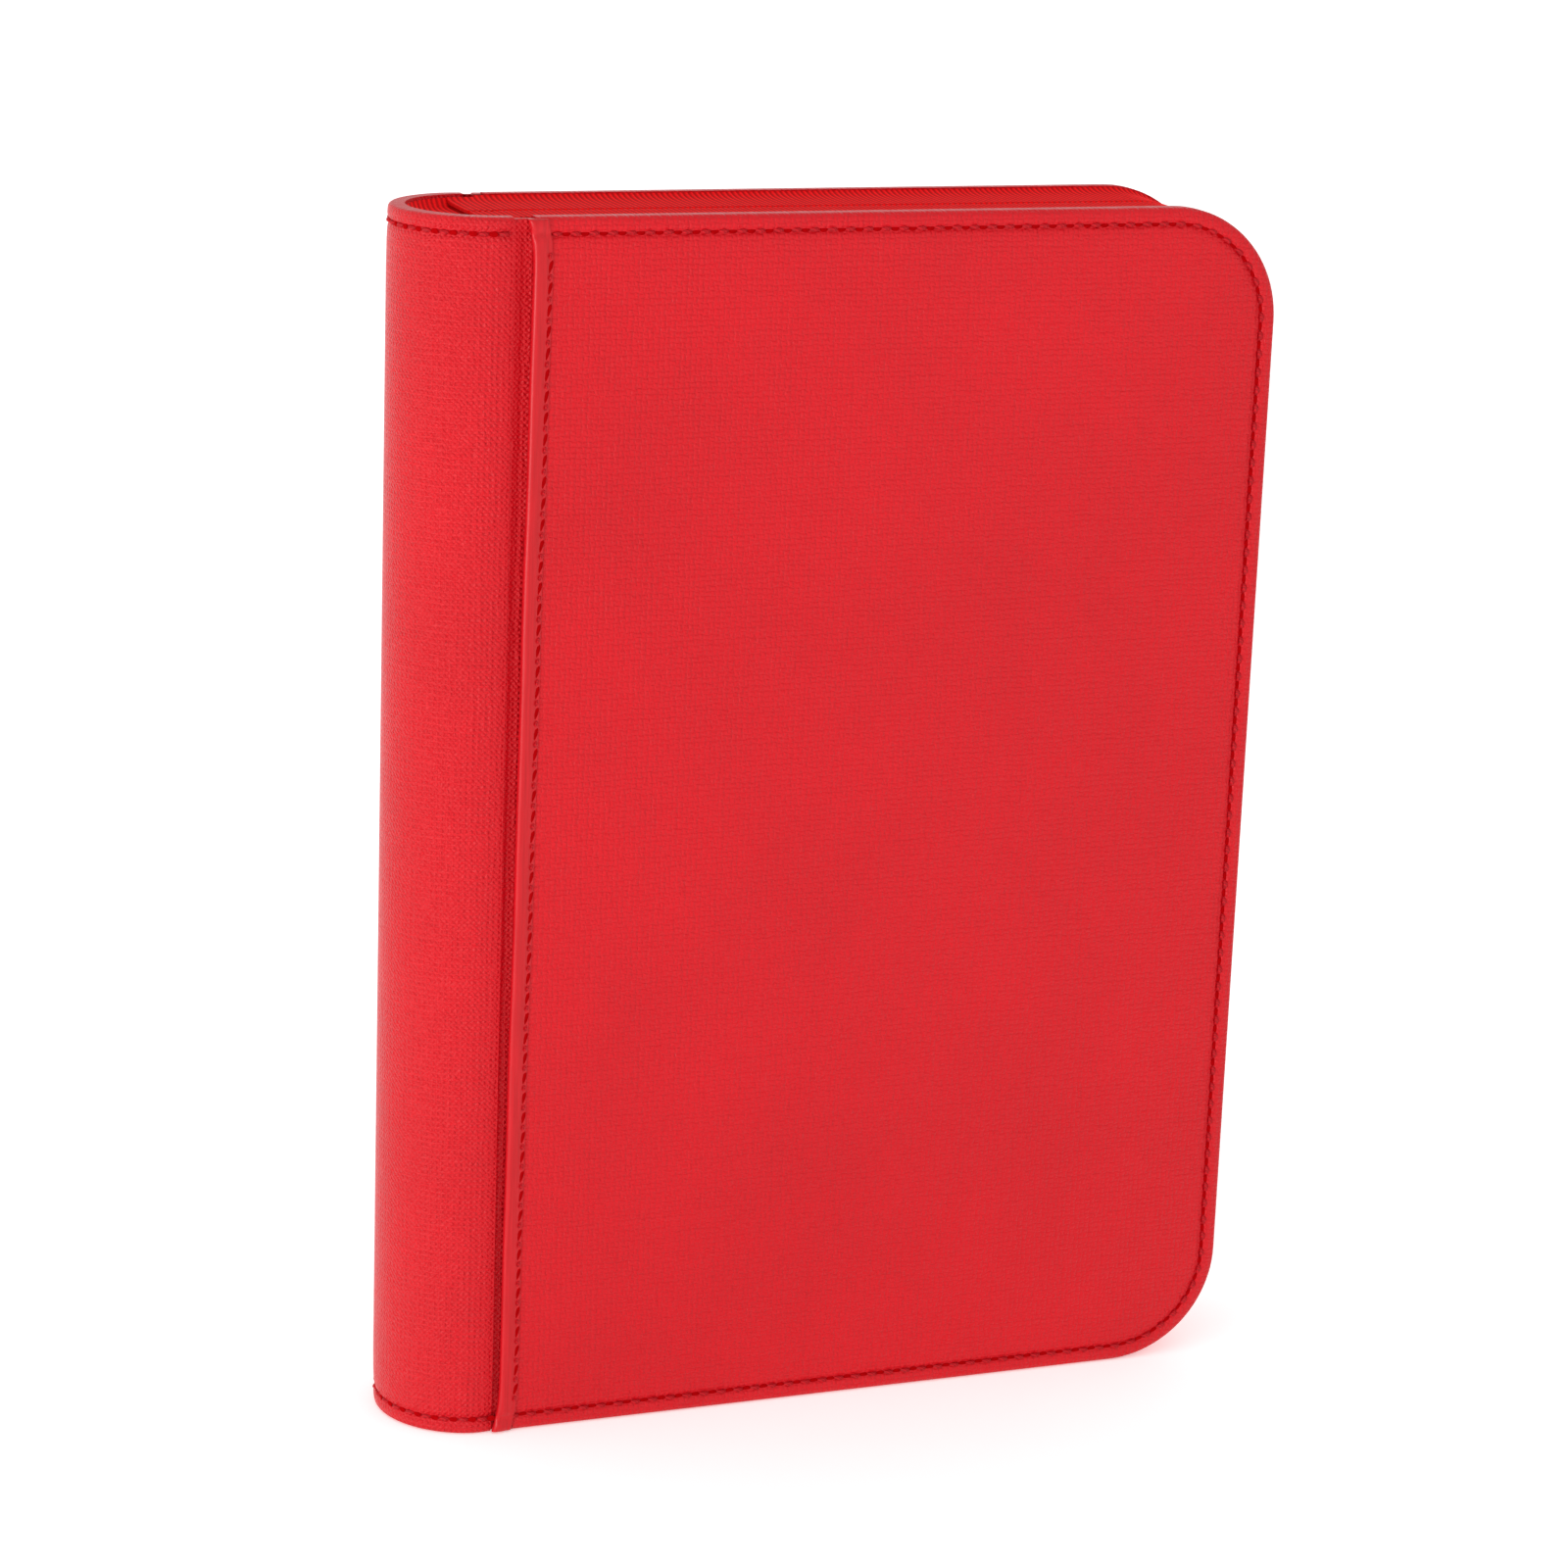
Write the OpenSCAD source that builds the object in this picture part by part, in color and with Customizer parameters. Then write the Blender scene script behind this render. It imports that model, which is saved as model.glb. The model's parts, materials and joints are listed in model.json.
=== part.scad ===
// Zip-around four-pocket trading card binder, closed and standing on its bottom edge.
// X runs from the spine to the fore-edge, Z up along the spine, and the front cover faces -Y.
// The origin is the centre of the bottom edge.

/* [Overall size] */
// Height of the covers and the spine
height = 226; // [180:1:280]
// Thickness of the closed binder, over both covers
thickness = 34.4; // [28:0.2:44]
// Width of one cover, from its fold beside the spine to the fore-edge
cover_w = 144; // [115:1:180]
// Outer radius of the two fore-edge corners
corner_r = 21.4; // [16:0.2:28]

/* [Cover layers] */
// Outer artificial leather skin
skin_t = 0.7; // [0.5:0.1:1]
// Foam padding under the skin
foam_t = 1.0; // [0.6:0.1:1.4]
// Stiff board
board_t = 0.9; // [0.6:0.1:1.4]
// Inner lining
lining_t = 0.4; // [0.3:0.1:0.6]
// Gap left round each layer inside the turned edge of the skin
layer_gap = 0.1; // [0.05:0.05:0.2]

/* [Hinges] */
// Radius of the soft fold that joins each cover to the spine
fold_r = 1.25; // [1:0.05:1.4]
// Distance from the fold's axis to the outer face of the cover
fold_inset = 1.5; // [1.45:0.05:1.8]
// Distance from the fold's axis to the edge of the cover
fold_to_cover = 2.7; // [2.3:0.1:3.2]
// Gap between the fold and the spine's layers
fold_gap = 0.05; // [0.05:0.05:0.2]

/* [Zip] */
// Thickness of the woven tape
tape_t = 0.6; // [0.4:0.1:0.8]
// Width of tape sewn inside each cover
tape_hem = 5.8; // [4:0.2:7]
// Depth of the zip below the cover edges at the top and the fore-edge
dip = 1.2; // [1:0.1:1.6]
// Depth of the zip below the cover edges at the bottom, which leaves room for the slider
low_dip = 5; // [4.8:0.1:5.4]
// Half-width of the flat middle of the tape
flat_half = 5.2; // [4.9:0.1:6]
// Half of the gap between the two half-chains
chain_gap = 0.5; // [0.45:0.05:0.6]
// Width of one half-chain
coil_w = 2; // [1.6:0.1:2.2]
// Height of one half-chain
coil_h = 1.6; // [1.2:0.1:1.8]
// Distance from the covers' fold axis to the start of the zip
zip_setback = 0.6; // [0.4:0.1:1]
// Length of the slope where the bottom run rises to the corner
ramp_l = 7; // [5:1:10]
// Length of a stop crimped on a half-chain
stop_l = 2.4; // [1.6:0.2:3]
// Thickness of the stop's metal, which passes inside the slider
stop_t = 0.2; // [0.1:0.05:0.2]
// How far a stop stands out beyond its half-chain
stop_lip = 0.3; // [0.1:0.1:0.4]

/* [Slider] */
// Length of the slider
slider_l = 12; // [10:0.5:13]
// Half of the slider's width
slider_half = 4.4; // [4:0.1:4.6]
// Thickness of the slider's two plates
plate_t = 1; // [0.8:0.1:1.2]
// Gap between the slider and what runs through it
slider_gap = 0.3; // [0.25:0.05:0.35]
// Distance from the front end of the bottom run to the slider's middle
slider_start = 12.6; // [12:0.2:20]
// Length of the pull tab from its pin to its tip
pull_l = 26; // [18:1:28]
// Width of the pull tab
pull_w = 7.6; // [6:0.2:8]
// Thickness of the pull tab
pull_t = 1.2; // [1:0.1:1.3]
// Running clearance of the pin in the slider's bridge
pin_gap = 0.08; // [0.05:0.01:0.1]

/* [Leaves] */
// Thickness of the pocket area of a leaf
leaf_t = 0.5; // [0.3:0.05:0.6]
// Thickness of the plain film beside the spine
film_t = 0.3; // [0.2:0.05:0.35]
// Distance from the leaf stack to each cover's lining
stack_gap = 1.6; // [1.4:0.1:2.4]
// Distance from the leaves' top and bottom edges to the cover edges
leaf_margin = 19; // [16:1:24]
// Distance from the leaves' outer edges to the fore-edge
leaf_inset = 5.4; // [5.2:0.1:9]
// Distance from the covers' fold axis to the line where the leaves turn
leaf_setback = 3.6; // [3.4:0.1:5]
// Width of the plain film beside the spine
film_w = 3; // [2.5:0.5:6]
// Width of the welded seams between and round the pockets
weld_w = 1.6; // [1.2:0.2:2.4]
// Depth of the seams below the pocket faces
weld_depth = 0.1; // [0.05:0.05:0.12]

/* [Stitching] */
// Distance between stitches
stitch_pitch = 3.4; // [2.8:0.1:4.5]
// Length of one stitch
stitch_l = 2.3; // [1.6:0.1:2.6]
// Width of the thread
thread_w = 0.6; // [0.4:0.05:0.8]
// Depth of the groove that the stitches pull into the skin
groove_d = 0.3; // [0.2:0.05:0.35]
// Width of that groove
groove_w = 1.1; // [0.9:0.1:1.4]
// Distance from the cover edges to the stitches
stitch_in = 2.9; // [2.4:0.1:4]

/* [Hidden] */
leaf_count = 20;
leaf_digits = "0123456789";
function leaf_name(i) = str("leaf_", leaf_digits[floor(i / 10)], leaf_digits[i % 10]);
sides = ["front", "rear"];
side_parts = [
  "cover_skin", "cover_foam", "cover_board", "cover_lining", "zip_tape", "zip_coil",
  "zip_stops", "edge_stitching", "fold_stitching", "hinge_fold", "binding_web"
];
$fn = 96;

red = "crimson";
dark_red = "firebrick";
thread = "darkred";
metal = "dimgray";
inner = "darkslategray";
clear = "lightsteelblue";

// Places along X, from the spine outwards
half_t = thickness / 2;
total_w = half_t + fold_r + fold_gap + fold_to_cover + cover_w;
spine_x = half_t - total_w / 2;
axis_x = spine_x + fold_r + fold_gap;
cover_x = axis_x + fold_to_cover;
fore_x = cover_x + cover_w;
corner_x = fore_x - corner_r;
axis_y = half_t - fold_inset;

// Layers, as depths below the outer face
foam_at = skin_t;
board_at = foam_at + foam_t;
lining_at = board_at + board_t;
cover_t = lining_at + lining_t;
inner_y = half_t - cover_t;

// Zip
zip_x = axis_x + zip_setback;
tape_start = 0.3;
hem_slope = 1.4;
ramp_x = corner_x - ramp_l;
coil_out = chain_gap + coil_w;
slider_x = zip_x + slider_start;
slider_end = slider_x - slider_l / 2;
outer_face = low_dip - slider_gap;
inner_face = low_dip + tape_t + coil_h + slider_gap;
post_l = 4;
post_w = 0.7;
pin_r = 0.6;
pull_z = outer_face - plate_t - slider_gap - pull_t / 2;
bridge_l = 5;
bridge_w = 2.4;
bridge_cover = 1.1;

// Leaves
leaf_pitch = (thickness - 2 * cover_t - 2 * stack_gap - leaf_t) / (leaf_count - 1);
leaf_x = axis_x + leaf_setback;
leaf_end = fore_x - leaf_inset;
pocket_x = leaf_x + film_w;
leaf_bead_r = 0.2;
margin_gap = 0.5;
web_t = 0.5;
web_gap = 0.1;
binding_pitch = 8;

function leaf_y(i) = leaf_pitch * (i - (leaf_count + 1) / 2);

// A flat plate parallel to the covers: its outer face lies depth below the front face.
module plate(depth, t) {
  translate([0, t + depth - half_t, 0])
    rotate([90, 0, 0])
      linear_extrude(t)
        children();
}

// Places a front piece as it is, and a rear piece as its mirror image.
module on_side(side) {
  if (side == "front") children();
  else mirror([0, 1, 0]) children();
}

// Outline of a cover, drawn in from its edges: square at the fold, round at the fore-edge.
module cover_outline(inset) {
  left = cover_x + inset;
  translate([left, inset]) square([corner_x - left, height - 2 * inset]);
  translate([left, corner_r]) square([fore_x - inset - left, height - 2 * corner_r]);
  for (z = [corner_r, height - corner_r])
    translate([corner_x, z]) circle(corner_r - inset);
}

// One layer inside the turned edge of a cover
module cover_layer(depth, t) {
  plate(depth, t) cover_outline(skin_t + layer_gap);
}

// The line of the edge stitches, as a strip of the given width
module stitch_strip(width) {
  difference() {
    cover_outline(stitch_in - width / 2);
    cover_outline(stitch_in + width / 2);
  }
}

module cover_skin() {
  color(red)
    difference() {
      plate(0, cover_t) cover_outline(0);
      plate(skin_t, cover_t) cover_outline(skin_t);
      plate(-1, 1 + groove_d) stitch_strip(groove_w);
    }
}

module cover_foam() { color("gainsboro") cover_layer(foam_at, foam_t); }
module cover_board() { color("dimgray") cover_layer(board_at, board_t); }
module cover_lining() { color(inner) cover_layer(lining_at, lining_t); }

// Half of the zip's cross-section, as points of distance from the middle and depth below the edge
function tape_outline(d) = [
  [inner_y, tape_start], [flat_half, d], [chain_gap, d], [chain_gap, d + tape_t],
  [flat_half, d + tape_t], [inner_y - tape_t, tape_start + hem_slope * tape_t],
  [inner_y - tape_t, tape_hem], [inner_y, tape_hem]
];
function coil_outline(d) = [
  [chain_gap, d + tape_t], [coil_out, d + tape_t],
  [coil_out, d + tape_t + coil_h], [chain_gap, d + tape_t + coil_h]
];
function stop_outline(d) = [
  [chain_gap, d + tape_t + coil_h], [coil_out + stop_lip, d + tape_t + coil_h],
  [coil_out + stop_lip, d + tape_t + coil_h + stop_t], [chain_gap, d + tape_t + coil_h + stop_t]
];

// A straight run of a front outline along X, above the bottom edge
module low_run(outline, from, to) {
  translate([from, 0, 0])
    rotate([90, 0, 90])
      linear_extrude(to - from)
        polygon([for (p = outline) [-p[0], p[1]]]);
}

// The same below the top edge
module top_run(outline, from, to) {
  translate([0, 0, height]) mirror([0, 0, 1]) low_run(outline, from, to);
}

// A quarter turn of a front outline round the upper fore-edge corner
module upper_corner(outline) {
  translate([corner_x, 0, height - corner_r])
    rotate([90, 0, 0])
      rotate_extrude(angle = 90)
        polygon([for (p = outline) [corner_r - p[1], p[0]]]);
}

// The slope between two depths of the bottom run, for the four corners of an outline
module ramp(low, high, corners) {
  points = concat(
    [for (i = corners) [ramp_x, -low[i][0], low[i][1]]],
    [for (i = corners) [corner_x, -high[i][0], high[i][1]]]
  );
  faces = [
    [0, 1, 2], [0, 2, 3], [6, 5, 4], [7, 6, 4], [1, 0, 5], [0, 4, 5],
    [2, 1, 5], [6, 2, 5], [3, 2, 6], [7, 3, 6], [0, 3, 7], [4, 0, 7]
  ];
  polyhedron(points, faces);
}

// A front outline along the top, the fore-edge and the bottom of the opening
module round_opening(high, low, strips) {
  low_run(low, zip_x, ramp_x);
  for (strip = strips) ramp(low, high, strip);
  translate([0, 0, height]) mirror([0, 0, 1]) upper_corner(high);
  translate([fore_x, 0, corner_r])
    linear_extrude(height - 2 * corner_r)
      polygon([for (p = high) [-p[1], -p[0]]]);
  upper_corner(high);
  top_run(high, zip_x, corner_x);
}

module zip_tape() {
  strips = [[1, 2, 3, 4], [0, 1, 4, 5], [0, 5, 6, 7]];
  color(dark_red) round_opening(tape_outline(dip), tape_outline(low_dip), strips);
}

module zip_coil() {
  color("maroon") round_opening(coil_outline(dip), coil_outline(low_dip), [[3, 2, 1, 0]]);
}

// Stops crimped on the inner face of a half-chain, at both of its ends
module zip_stops() {
  color(metal) {
    low_run(stop_outline(low_dip), zip_x, zip_x + stop_l);
    top_run(stop_outline(dip), zip_x, zip_x + stop_l);
  }
}

// One stitch lying in the groove, on the front face
module stitch(length) {
  translate([-length / 2, 0, -thread_w / 2])
    cube([length, groove_d, thread_w]);
}

// Stitches along the top, fore-edge and bottom of a cover
stitch_r = corner_r - stitch_in;
top_steps = floor((corner_x - cover_x - stitch_in) / stitch_pitch);
side_steps = floor((height - 2 * corner_r) / stitch_pitch);
turn_steps = floor(90 * PI / 180 * stitch_r / stitch_pitch);
fold_steps = floor((height - 2 * stitch_in) / stitch_pitch);

module edge_stitching() {
  color(thread) {
    for (z = [stitch_in, height - stitch_in])
      for (i = [0 : top_steps - 1])
        translate([corner_x - (i + 0.5) * stitch_pitch, -half_t, z])
          stitch(stitch_l);
    for (i = [0 : side_steps - 1])
      translate([fore_x - stitch_in, -half_t, height / 2 + (i + 0.5 - side_steps / 2) * stitch_pitch])
        rotate([0, 90, 0])
          stitch(stitch_l);
    for (z = [corner_r, height - corner_r])
      for (i = [0 : turn_steps - 1]) {
        turn = (z == corner_r ? 90 : 0) - 90 * (i + 0.5) / turn_steps;
        translate([corner_x, -half_t, z])
          rotate([0, turn, 0])
            translate([stitch_r, 0, 0])
              rotate([0, 90, 0])
                stitch(stitch_l);
      }
  }
}

// Stitches down the folded edge of a cover, between the two edge rows
module fold_stitching() {
  color(thread)
    for (i = [1 : fold_steps - 1])
      translate([cover_x + stitch_in, -half_t, height / 2 + (i - fold_steps / 2) * stitch_pitch])
        rotate([0, 90, 0])
          stitch(stitch_l);
}

// A half-round shell of the spine, between two depths below its outer face
module spine_shell(depth, t, z_gap) {
  translate([spine_x, 0, z_gap])
    rotate([0, 0, 90])
      rotate_extrude(angle = 180)
        translate([half_t - depth - t, 0])
          square([t, height - 2 * z_gap]);
}

module spine_layer(depth, t) {
  spine_shell(depth, t, skin_t + layer_gap);
}

// The skin turns in over the ends of the other layers.
module spine_skin() {
  color(red)
    difference() {
      spine_shell(0, cover_t, 0);
      spine_shell(skin_t, cover_t, skin_t);
      for (z = [stitch_in, height - stitch_in])
        translate([spine_x, 0, z - groove_w / 2])
          rotate([0, 0, 90])
            rotate_extrude(angle = 180)
              translate([half_t - groove_d, 0])
                square([1 + groove_d, groove_w]);
    }
}

module spine_foam() { color("gainsboro") spine_layer(foam_at, foam_t); }
module spine_board() { color("dimgray") spine_layer(board_at, board_t); }
module spine_lining() { color(inner) spine_layer(lining_at, lining_t); }

// Stitches round the top and bottom of the spine
spine_stitch_r = half_t - groove_d;
spine_steps = floor(PI * half_t / stitch_pitch);
thread_t = 0.22;

module spine_stitching() {
  color(thread)
    for (z = [stitch_in, height - stitch_in])
      for (i = [0 : spine_steps - 1])
        translate([spine_x, 0, z])
          rotate([0, 0, 90 + 180 * (i + 0.5) / spine_steps])
            translate([spine_stitch_r, -stitch_l / 2, -thread_w / 2])
              cube([thread_t, stitch_l, thread_w]);
}

// The fold on which a cover swings: a doubled edge of the spine's skin
module hinge_fold() {
  color(red)
    translate([axis_x, -axis_y, skin_t])
      cylinder(h = height - 2 * skin_t, r = fold_r);
}

// Ribbed gusset that closes one end of the spine: a floor with a sewn hem
module gusset(depth) {
  reach = axis_x - fold_gap - spine_x;
  hem_r = inner_y - layer_gap;
  color(dark_red)
    translate([spine_x, 0, 0])
      difference() {
        union() {
          translate([0, 0, depth]) rotate([0, 0, 90]) rotate_extrude(angle = 180) square([hem_r, tape_hem]);
          translate([0, -flat_half, depth]) cube([reach, 2 * flat_half, tape_t]);
        }
        translate([0, 0, depth + tape_t])
          rotate([0, 0, 90])
            rotate_extrude(angle = 180)
              square([hem_r - tape_t, tape_hem]);
      }
}

module spine_foot_gusset() { gusset(low_dip); }
module spine_head_gusset() { translate([0, 0, height]) mirror([0, 0, 1]) gusset(dip); }

// The sewn margins of the leaves, which stay with the spine: one strip behind each leaf
module leaf_margins() {
  reach = inner_y - web_gap;
  color(clear)
    for (i = [1 : leaf_count])
      translate([spine_x, leaf_y(i) - film_t / 2, leaf_margin])
        translate([-sqrt(pow(reach, 2) - pow(abs(leaf_y(i)) + film_t / 2, 2)), 0, 0])
          cube([
            leaf_x - margin_gap - spine_x + sqrt(pow(reach, 2) - pow(abs(leaf_y(i)) + film_t / 2, 2)),
            film_t,
            height - 2 * leaf_margin
          ]);
}

// Woven webbing that clamps the margins from outside
web_y = -leaf_y(1) + film_t / 2 + web_gap;
web_back = sqrt(pow(inner_y - web_gap, 2) - pow(web_y + web_t, 2));

module binding_web() {
  color(inner)
    translate([spine_x - web_back, -web_y - web_t, leaf_margin])
      cube([leaf_x - margin_gap - spine_x + web_back, web_t, height - 2 * leaf_margin]);
}

// The thread that shows on both webbings
binding_steps = floor((height - 2 * leaf_margin) / binding_pitch);
binding_l = 5;

module binding_stitching() {
  color(thread)
    for (side = sides)
      on_side(side)
        for (i = [0 : binding_steps - 1])
          translate([
            spine_x,
            -web_y - web_t - thread_t,
            height / 2 + (i + 0.5 - binding_steps / 2) * binding_pitch - binding_l / 2
          ])
            cube([thread_w, thread_t, binding_l]);
}

// One leaf: plain film on its turning line, then four pockets divided by welded seams
module leaf(i) {
  leaf_h = height - 2 * leaf_margin;
  mid_x = (pocket_x + leaf_end) / 2;
  color(clear)
    translate([0, leaf_y(i), leaf_margin]) {
      translate([leaf_x, 0, 0]) cylinder(h = leaf_h, r = leaf_bead_r);
      translate([leaf_x, -film_t / 2, 0]) cube([film_w + weld_w, film_t, leaf_h]);
      difference() {
        translate([pocket_x, -leaf_t / 2, 0]) cube([leaf_end - pocket_x, leaf_t, leaf_h]);
        for (y = [-leaf_t / 2 - 1, leaf_t / 2 - weld_depth]) {
          for (x = [pocket_x + weld_w / 2, mid_x, leaf_end - weld_w / 2])
            translate([x - weld_w / 2, y, -1]) cube([weld_w, 1 + weld_depth, leaf_h + 2]);
          for (z = [weld_w / 2, leaf_h / 2, leaf_h - weld_w / 2])
            translate([pocket_x - 1, y, z - weld_w / 2])
              cube([leaf_end - pocket_x + 2, 1 + weld_depth, weld_w]);
        }
      }
    }
}

// The slider: two plates joined by a post between the half-chains, and by a wall beside the
// rear one, with a bridge that holds the pull. Its front side is open, so the front half-chain
// leaves it when the cover swings.
module zip_slider() {
  wall_y = coil_out + slider_gap + 0.1;
  bridge_z = pull_z - pin_r - bridge_cover;
  color(metal)
    difference() {
      union() {
        translate([slider_end, -slider_half, outer_face - plate_t])
          cube([slider_l, 2 * slider_half, plate_t]);
        translate([slider_end, -slider_half, inner_face])
          cube([slider_l, 2 * slider_half, plate_t]);
        translate([slider_end, -post_w / 2, outer_face - plate_t])
          cube([post_l, post_w, inner_face - outer_face + 2 * plate_t]);
        translate([slider_end, wall_y, low_dip + tape_t + slider_gap])
          cube([slider_l, slider_half - wall_y, inner_face - low_dip - tape_t]);
        translate([slider_x - bridge_l / 2, -bridge_w / 2, bridge_z])
          cube([bridge_l, bridge_w, outer_face - bridge_z]);
      }
      translate([slider_x, 0, pull_z])
        rotate([90, 0, 0])
          cylinder(h = 2 * slider_half, r = pin_r + pin_gap, center = true);
    }
}

// The pull: a pin in the bridge, two arms and a flat tab with a hole near its tip
module zip_pull() {
  arm_in = bridge_w / 2 + slider_gap;
  arm_out = pull_w / 2;
  tab_x = bridge_l / 2 + slider_gap + 0.4;
  tip_r = pull_w / 2;
  color(metal)
    translate([slider_x, 0, pull_z]) {
      rotate([90, 0, 0]) cylinder(h = 2 * arm_out, r = pin_r, center = true);
      for (y = [-arm_out, arm_in])
        translate([0, y, -pull_t / 2]) cube([tab_x + 1, arm_out - arm_in, pull_t]);
      translate([0, 0, -pull_t / 2])
        difference() {
          union() {
            translate([tab_x, -pull_w / 2, 0]) cube([pull_l - tip_r - tab_x, pull_w, pull_t]);
            translate([pull_l - tip_r, 0, 0]) cylinder(h = pull_t, r = tip_r);
          }
          translate([pull_l - tip_r, 0, -1]) cylinder(h = pull_t + 2, r = tip_r / 2);
        }
    }
}

module side_piece(side, piece) {
  on_side(side) {
    if (piece == "cover_skin") cover_skin();
    if (piece == "cover_foam") cover_foam();
    if (piece == "cover_board") cover_board();
    if (piece == "cover_lining") cover_lining();
    if (piece == "zip_tape") zip_tape();
    if (piece == "zip_coil") zip_coil();
    if (piece == "zip_stops") zip_stops();
    if (piece == "edge_stitching") edge_stitching();
    if (piece == "fold_stitching") fold_stitching();
    if (piece == "hinge_fold") hinge_fold();
    if (piece == "binding_web") binding_web();
  }
}

spine_skin();
spine_foam();
spine_board();
spine_lining();
spine_head_gusset();
spine_foot_gusset();
spine_stitching();
leaf_margins();
binding_stitching();
for (side = sides)
  for (piece = side_parts)
    side_piece(side, piece);
zip_slider();
zip_pull();
for (i = [1 : leaf_count])
  leaf(i);
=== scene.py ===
"""Zip-around trading card binder: padded covers, half-round spine, ribbed zip and pocket leaves."""

import json
import math

import bpy
import numpy as np
from mathutils import Matrix, Vector


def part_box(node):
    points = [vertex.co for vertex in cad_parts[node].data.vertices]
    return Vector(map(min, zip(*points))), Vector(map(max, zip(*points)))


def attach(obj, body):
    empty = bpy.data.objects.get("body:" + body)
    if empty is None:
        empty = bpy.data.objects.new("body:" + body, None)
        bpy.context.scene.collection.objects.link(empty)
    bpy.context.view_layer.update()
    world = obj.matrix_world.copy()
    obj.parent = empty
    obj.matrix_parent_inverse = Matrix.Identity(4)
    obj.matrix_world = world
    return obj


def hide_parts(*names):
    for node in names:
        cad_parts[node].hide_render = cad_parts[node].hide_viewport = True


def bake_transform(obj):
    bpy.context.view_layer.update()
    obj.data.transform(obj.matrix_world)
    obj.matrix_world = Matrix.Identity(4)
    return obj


bl_info = {
    "name": "Trading Card Binder",
    "version": (1, 0, 0),
    "blender": (4, 5, 0),
    "location": "View3D > Sidebar > Binder",
    "description": "Builds the covers, spine, zip, stitching and leaves of a card binder",
    "category": "Add Mesh",
}

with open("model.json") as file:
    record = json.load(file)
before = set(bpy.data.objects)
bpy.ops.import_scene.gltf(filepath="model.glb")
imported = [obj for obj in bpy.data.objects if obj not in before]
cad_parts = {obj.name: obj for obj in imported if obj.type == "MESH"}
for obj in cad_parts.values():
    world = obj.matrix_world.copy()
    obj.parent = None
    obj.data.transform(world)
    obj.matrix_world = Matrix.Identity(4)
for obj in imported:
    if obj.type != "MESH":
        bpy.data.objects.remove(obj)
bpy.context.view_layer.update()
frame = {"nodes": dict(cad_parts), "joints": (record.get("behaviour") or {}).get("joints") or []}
MM = 0.001

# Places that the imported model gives, in metres
COVER_LOW, COVER_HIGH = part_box("front_cover_skin")
SPINE_LOW, SPINE_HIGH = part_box("spine_skin")
COIL_LOW, COIL_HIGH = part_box("front_zip_coil")
TAPE_LOW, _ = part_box("front_zip_tape")
LINING_LOW, LINING_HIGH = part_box("front_cover_lining")
BOARD_LOW, BOARD_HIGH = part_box("front_cover_board")
SLIDER_LOW, SLIDER_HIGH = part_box("zip_slider")
PULL_LOW, PULL_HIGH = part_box("zip_pull")
LEAF_LOW, LEAF_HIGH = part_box("leaf_01")
WEB_LOW, WEB_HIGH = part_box("front_binding_web")
HEIGHT = COVER_HIGH.z
HALF_T = -COVER_LOW.y
INNER_Y = -COVER_HIGH.y
COVER_X = COVER_LOW.x
FORE_X = COVER_HIGH.x
SPINE_X = SPINE_HIGH.x
ZIP_X = TAPE_LOW.x
MIDDLE_Z = HEIGHT / 2
JOINTS = {joint["name"]: joint for joint in frame["joints"]}
LEAF_X = JOINTS["leaf_01_turn"]["pos_m"][0]
LEAVES = sorted(n for n in frame["nodes"] if n.startswith("leaf_") and n[5:].isdigit())
SIDES = {"front": -1, "rear": 1}

# Sizes shared by several pieces, in metres
TAPE_EDGE = 0.3 * MM      # depth of the tape's edge below the cover's rim
TAPE_HEM = 5.8 * MM       # depth to which the tape is sewn inside the cover
WALL_FALL = 1.5 * MM      # distance in which the tape falls most of the way from the rim
STITCH_BED = 0.32 * MM    # depth of the groove that the edge stitches lie in


def hex_linear(code):
    """A six-figure sRGB hex colour as a linear colour with alpha."""
    parts = [int(code[i:i + 2], 16) / 255 for i in (0, 2, 4)]
    linear = [c / 12.92 if c <= 0.04045 else ((c + 0.055) / 1.055) ** 2.4 for c in parts]
    return tuple(linear + [1.0])


def length(label, text, millimetres):
    """A length property, in metres."""
    return bpy.props.FloatProperty(name=label, description=text, default=millimetres * MM,
                                   min=0, subtype="DISTANCE", unit="LENGTH", precision=4)


def colour(label, text, code):
    """A colour property."""
    return bpy.props.FloatVectorProperty(name=label, description=text, size=4, min=0, max=1,
                                         default=hex_linear(code), subtype="COLOR")


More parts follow.
